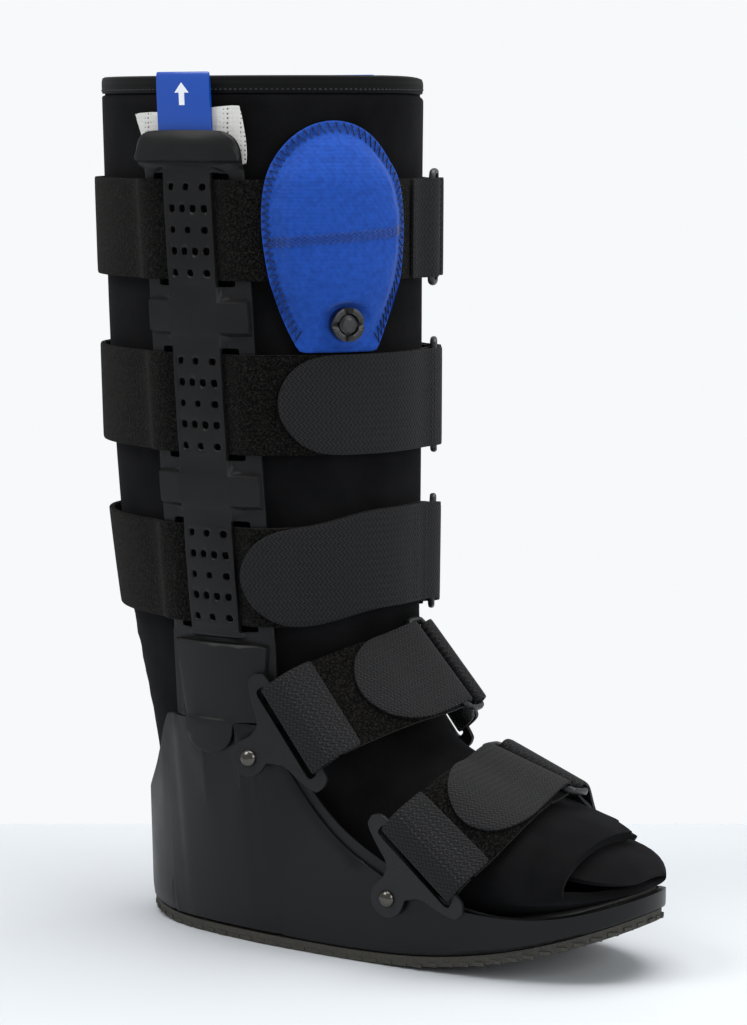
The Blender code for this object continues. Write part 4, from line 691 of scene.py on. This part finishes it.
class BOOT_OT_liner(PieceOperator, bpy.types.Operator):
    """Padded liner, swollen by cloth simulation between the straps"""
    bl_idname = "boot.liner"
    bl_label = "Liner"

    def build(self, sizes, colours):
        mesh = cad_copy("liner_body")
        crease_corners(mesh, 55.0, 0.6)
        item = subdivide(to_object("liner_padding", mesh), 2)
        points = np.array([v.co for v in item.data.vertices])
        normals = np.array([v.normal for v in item.data.vertices])
        room = nearest(points, COVERS)
        # padding is held down next to straps and stands out further behind the leg
        free = np.clip((room - 1.0) / 16.0, 0.0, 1.0) ** 0.8
        free *= 1.0 - 0.5 * np.clip((points[:, 0] / MM + 30.0) / 60.0, 0.0, 1.0)
        swell(item, free, sizes.pressure, sizes.bulge, sizes.frames)
        # creases of the cloth where the ankle bends and above the heel
        points = np.array([v.co for v in item.data.vertices])
        bend = np.exp(-((points[:, 2] / MM - 128.0 + (points[:, 0] / MM) * 0.25) / 34.0) ** 2)
        fold = np.sin(points[:, 2] / MM * 0.42 + np.sin(points[:, 1] / MM * 0.09) * 1.7
                      + points[:, 0] / MM * 0.12)
        points += normals * (fold * bend * free * 0.45 * MM)[:, None]
        item.data.vertices.foreach_set("co", points.ravel())
        finish_piece(item, brushed_knit(), ("liner_body",), angle=70.0)


class BOOT_OT_tape(PieceOperator, bpy.types.Operator):
    """Folded edge tape along the liner's top and front edges"""
    bl_idname = "boot.tape"
    bl_label = "Edge tape"

    def build(self, sizes, colours):
        look = edge_tape()
        for node in ("top_binding", "front_binding"):
            moulded(node.replace("binding", "edge_tape"), node, look, 2, 60.0, 0.35)


class BOOT_OT_straps(PieceOperator, bpy.types.Operator):
    """Fuzzy bands, woven loops and hook tabs of the leg and foot straps"""
    bl_idname = "boot.straps"
    bl_label = "Straps"

    def build(self, sizes, colours):
        pile, woven = loop_pile(), hook_weave()
        for node in sorted(NODES):
            leg, foot = node.startswith("calf_"), node.split("_")[0] in FOOT_STRAPS
            if not (leg or foot) or "_ring" in node:
                continue
            band = "_band" in node
            mesh = cad_copy(node)
            crease_corners(mesh, 62.0, 0.55 if band else 0.85)
            item = subdivide(to_object(node + "_cloth", mesh), 3)
            if leg:
                weave_by_leg(item)
            else:
                weave_by_strap(item, *FOOT_STRAPS[node.split("_")[0]])
            finish_piece(item, pile if band else woven, (node,),
                         angle=60.0)


class BOOT_OT_rings(PieceOperator, bpy.types.Operator):
    """Moulded strap rings"""
    bl_idname = "boot.rings"
    bl_label = "Rings"

    def build(self, sizes, colours):
        look = ring_acetal()
        for node in sorted(name for name in NODES if "_ring" in name and name != "valve_ring"):
            moulded(node + "_moulded", node, look, 2, 100.0, 0.0)


class BOOT_OT_shell(PieceOperator, bpy.types.Operator):
    """Rigid rocker shell"""
    bl_idname = "boot.shell"
    bl_label = "Shell"

    def build(self, sizes, colours):
        look = shell_plastic("moulded polypropylene", "070708", "0c0c0d", 0.38, 0.24)
        moulded("rocker_shell", "boot_shell", look, 2, 30.0, 0.9)


class BOOT_OT_uprights(PieceOperator, bpy.types.Operator):
    """Two uprights with bridged windows"""
    bl_idname = "boot.uprights"
    bl_label = "Uprights"

    def build(self, sizes, colours):
        look = shell_plastic("moulded glass-filled nylon", "0e0e0f", "161617", 0.44, 0.22)
        for side in ("near", "far"):
            moulded("upright_moulded_" + side, "upright_" + side, look, 2, 26.0,
                    0.85, hole=4.2 * MM)


class BOOT_OT_sole(PieceOperator, bpy.types.Operator):
    """Rubber tread with its small lugs, and the foam footbed"""
    bl_idname = "boot.sole"
    bl_label = "Sole"

    def build(self, sizes, colours):
        rubber = sole_rubber()
        moulded("rubber_tread", "tread_sole", rubber, 2, 40.0, 1.0)
        # lugs run along the tread's lower edge, one line on each side
        spots = np.array([v.co for v in NODES["tread_sole"].data.vertices])
        loops = []
        for side in (-1.0, 1.0):
            line = {}
            for p in spots[spots[:, 1] * side >= 0.0]:
                key = round(p[0], 4)
                line[key] = min(line.get(key, (9.0, 0.0)), (p[2], p[1]))
            loops.append([Vector((x, line[x][1], line[x][0] + 1.3 * MM)) for x in sorted(line)])
        along_lines("tread_lug_row", loops, lug_tree(),
                    {"Pitch": sizes.lug_pitch, "Rubber": rubber}, rubber)
        item = moulded("foam_footbed", "footbed", insole_foam(), 2, 50.0, 0.5)


class BOOT_OT_plates(PieceOperator, bpy.types.Operator):
    """Swivel plates and their domed rivets"""
    bl_idname = "boot.plates"
    bl_label = "Plates and rivets"

    def build(self, sizes, colours):
        steel, dome = plate_steel(), rivet_steel()
        for node in sorted(NODES):
            if node.startswith("swivel_plate"):
                moulded(node + "_steel", node, steel, 2, 40.0, 0.8)
            elif node.startswith("rivet"):
                moulded(node + "_dome", node, dome, 2, 70.0, 0.7)


class BOOT_OT_pouch(PieceOperator, bpy.types.Operator):
    """Padded pump pouch with its overlocked edge, cross seam and air valve"""
    bl_idname = "boot.pouch"
    bl_label = "Pump pouch"

    def build(self, sizes, colours):
        mesh = cad_copy("pump_pouch")
        crease_corners(mesh, 60.0, 0.4)
        item = subdivide(to_object("pouch_padding", mesh), 2)
        points = np.array([v.co for v in item.data.vertices])
        room = nearest(points, ["valve_ring", "calf_band_1", "liner_body", "calf_tab_2"])
        free = np.clip((room - 4.0) / 6.0, 0.0, 1.0)
        swell(item, free, sizes.pressure, 2.0 * MM, sizes.frames)
        finish_piece(item, blue_neoprene(), ("pump_pouch",), angle=60.0)
        skin = tree_of(item)
        # overlock zigzag round the edge
        black = thread("black polyester thread", linear("08080a"))
        step = sizes.overlock / MM / 2
        middle, half = POUCH_TOP - POUCH_WAIST, POUCH_WIDTH / 2
        outline = []
        for a in np.radians(np.linspace(-80.0, 260.0, 1400)):
            tall = POUCH_WAIST if math.sin(a) > 0 else POUCH_TAIL
            spot = (half * math.cos(a), tall * math.sin(a))
            if middle + spot[1] > POUCH_FLOOR and (not outline or math.dist(spot, outline[-1]) > step):
                outline.append(spot)
        zigzag = []
        for k, (u, v) in enumerate(outline):
            share = 1.0 - (0.8 if k % 2 else 4.4) / half
            zigzag.append(lay(skin, POUCH_CENTRE + u * share, middle + v * share, 0.25))
        runs = thread_tree()
        along_lines("pouch_overlock", [zigzag], runs,
                    {"Thread": sizes.thread, "Thread Material": black}, black)
        # seam across the middle: three close zigzag lines of blue thread
        blue = thread("blue polyester thread", linear("0d3680"))
        lines = []
        for row in range(3):
            line = []
            for k, share in enumerate(np.linspace(-1.0, 1.0, 54)):
                level = SEAM_HEIGHT + SEAM_RISE * share + row * 1.7 + (0.8 if k % 2 else -0.8)
                line.append(lay(skin, POUCH_CENTRE + SEAM_REACH * share, level, 0.15))
            lines.append(line)
        along_lines("pouch_cross_seam", lines, runs,
                    {"Thread": sizes.thread, "Thread Material": blue}, blue)
        plastic = shell_plastic("moulded valve ABS", "101011", "171718", 0.3)
        moulded("valve_ring_moulded", "valve_ring", plastic, 2, 35.0, 0.8)
        moulded("valve_button_moulded", "valve_button", plastic, 2, 35.0, 0.8,
                body=VALVE_BODY)


class BOOT_OT_pulls(PieceOperator, bpy.types.Operator):
    """Ribbon pull tabs with a printed arrow, and the punched cloth sleeves behind the uprights"""
    bl_idname = "boot.pulls"
    bl_label = "Pull tabs and sleeves"

    def build(self, sizes, colours):
        film, cloth, ink = blue_film(), white_cloth(), white_ink()
        for side in ("near", "far"):
            item = moulded("pull_ribbon_" + side, "pull_tab_" + side, film, 3, 60.0, 0.8)
            moulded("punched_sleeve_" + side, "mesh_sleeve_" + side, cloth, 2, 60.0, 0.8)
            # plain arrow that points up
            tree, mirror = tree_of(item), 1.0 if side == "near" else -1.0
            mesh = bmesh.new()
            corners = []
            for u, v in ARROW:
                start, foot = (leg_wrap(u + ARROW_ALONG, ARROW_FOOT + v, out) for out in (40.0, 0.0))
                start.y, foot.y = start.y * mirror, foot.y * mirror
                hit, normal = tree.ray_cast(start, (foot - start).normalized(), 0.06)[:2]
                corners.append(hit + normal * ARROW_LIFT * MM)
            back = [c - Vector((0.0, math.copysign(ARROW_DEPTH * MM, c.y), 0.0)) for c in corners]
            verts = [mesh.verts.new(c) for c in corners + back]
            n = len(ARROW)
            mesh.faces.new(verts[:n])
            mesh.faces.new(verts[n:][::-1])
            for k in range(n):
                mesh.faces.new((verts[k], verts[k + n], verts[(k + 1) % n + n], verts[(k + 1) % n]))
            bmesh.ops.triangulate(mesh, faces=mesh.faces)
            bmesh.ops.recalc_face_normals(mesh, faces=mesh.faces)
            finish_piece(to_object("arrow_print_" + side, mesh), ink, ())


class BOOT_OT_stitches(PieceOperator, bpy.types.Operator):
    """Rows of stitches on the top tape and the strap ends"""
    bl_idname = "boot.stitches"
    bl_label = "Stitches"

    def build(self, sizes, colours):
        black = thread("black sewing thread", colours.black_thread)
        tree = stitch_tree()
        values = {"Pitch": sizes.pitch, "Length": sizes.stitch, "Thread": sizes.thread,
                  "Thread Material": black}
        objects = bpy.data.objects
        top = tree_of(objects["top_edge_tape"])
        lines = [[lay(top, a, 425.6, 0.15) for a in np.linspace(150.0, -310.0, 160)]]
        along_lines("top_tape_stitches", lines, tree, values, black)
        # rows where each strap's woven end is sewn on
        lines = []
        widths = np.linspace(-STITCHED_HALF_WIDTH, STITCHED_HALF_WIDTH, 30)
        for name, middle, rows, rise in CALF_ROWS:
            cloth = tree_of(objects[name])
            for along in rows:
                inside = (min(along, REF_FRONT - along) - RISE_START) / RISE_LENGTH
                level = middle + rise * min(max(inside, 0.0), 1.0)
                lines.append([lay(cloth, along, level + w, 0.1) for w in widths])
        for name, (slot_x, slot_z, slope) in FOOT_STRAPS.items():
            c, s = math.cos(math.radians(slope)), math.sin(math.radians(slope))
            for part, mirror in (("near", 1.0), ("far", -1.0)):
                cloth = tree_of(objects["%s_loop_%s_cloth" % (name, part)])
                for up in SEWN_ROWS:
                    row = []
                    for w in np.linspace(-STITCHED_HALF_WIDTH, STITCHED_HALF_WIDTH, 24):
                        x, z = slot_x - c * w + s * up, slot_z + s * w + c * up
                        start = Vector((x, -120.0 * mirror, z)) * MM
                        hit = cloth.ray_cast(start, Vector((0.0, mirror, 0.0)), 0.12)
                        row.append(None if hit[0] is None else hit[0] + hit[1] * 0.1 * MM)
                    lines.append(row)
        along_lines("strap_end_stitches", lines, tree, values, black)


class BOOT_OT_stage(PieceOperator, bpy.types.Operator):
    """Pale floor, soft light and the camera"""
    bl_idname = "boot.stage"
    bl_label = "Stage"

    def build(self, sizes, colours):
        scene = bpy.context.scene
        camera = bpy.data.objects.new("camera", bpy.data.cameras.new("camera"))
        camera.data.lens, camera.data.sensor_width = sizes.lens, 36.0
        camera.location = CAMERA_PLACE
        camera.rotation_mode = "QUATERNION"
        camera.rotation_quaternion = Vector(CAMERA_AIM).to_track_quat("-Z", "Y")
        scene.collection.objects.link(camera)
        scene.camera = camera
        # the floor's far edge makes the seam between floor and wall
        heading = Vector(FLOOR_HEADING).normalized()
        side = Vector((heading.y, -heading.x, 0.0)) * FLOOR_SIZE / 2
        far = Vector((*CAMERA_PLACE[:2], -FLOOR_DROP)) + heading * FLOOR_REACH
        near = far - heading * FLOOR_SIZE
        floor = bmesh.new()
        floor.faces.new([floor.verts.new(c) for c in (far - side, far + side, near + side, near - side)])
        bmesh.ops.recalc_face_normals(floor, faces=floor.faces)
        item = to_object("studio_floor", floor)
        if item.data.polygons[0].normal.z < 0:
            item.data.flip_normals()
        item.data.materials.append(studio_paint())
        world = bpy.data.worlds.new("pale room")
        scene.world = world
        world.use_nodes = True
        background = world.node_tree.nodes["Background"]
        background.inputs["Color"].default_value = colours.backdrop
        # the wall is seen at full brightness, and lights the boot less
        sight = add(world.node_tree, "ShaderNodeLightPath")
        level = add(world.node_tree, "ShaderNodeMapRange", {"Value": sight.outputs["Is Camera Ray"]},
                    {"To Min": WALL_LIGHT, "To Max": WALL_SEEN})
        world.node_tree.links.new(level.outputs[0], background.inputs["Strength"])
        for name, place, size, power in LIGHTS:
            lamp = bpy.data.objects.new(name, bpy.data.lights.new(name, "AREA"))
            lamp.data.size, lamp.data.energy = size, power
            lamp.location = place
            lamp.rotation_mode = "QUATERNION"
            aim = Vector(LIGHT_AIM) - Vector(place)
            lamp.rotation_quaternion = aim.to_track_quat("-Z", "Y")
            scene.collection.objects.link(lamp)
        scene.view_settings.view_transform = "Standard"


PIECES = (BOOT_OT_stage, BOOT_OT_liner, BOOT_OT_tape, BOOT_OT_straps, BOOT_OT_rings, BOOT_OT_shell,
          BOOT_OT_uprights, BOOT_OT_sole, BOOT_OT_plates, BOOT_OT_pouch, BOOT_OT_pulls,
          BOOT_OT_stitches)


class BOOT_PT_panel(bpy.types.Panel):
    """Sizes, colours and one button for each group of pieces"""
    bl_idname = "BOOT_PT_panel"
    bl_label = "Walker boot"
    bl_space_type = "VIEW_3D"
    bl_region_type = "UI"
    bl_category = "Boot"

    def draw(self, context):
        for group in (context.scene.boot_sizes, context.scene.boot_colours):
            for key in group.__annotations__:
                self.layout.prop(group, key)
        for piece in PIECES:
            self.layout.operator(piece.bl_idname)


CLASSES = (BootSizes, BootColours, *PIECES, BOOT_PT_panel)


def register():
    for item in CLASSES:
        bpy.utils.register_class(item)
    bpy.types.Scene.boot_sizes = PointerProperty(type=BootSizes)
    bpy.types.Scene.boot_colours = PointerProperty(type=BootColours)


def unregister():
    del bpy.types.Scene.boot_colours
    del bpy.types.Scene.boot_sizes
    for item in reversed(CLASSES):
        bpy.utils.unregister_class(item)


def main():
    register()
    for piece in PIECES:
        group, name = piece.bl_idname.split(".")
        getattr(getattr(bpy.ops, group), name)()


if __name__ == "__main__":
    main()
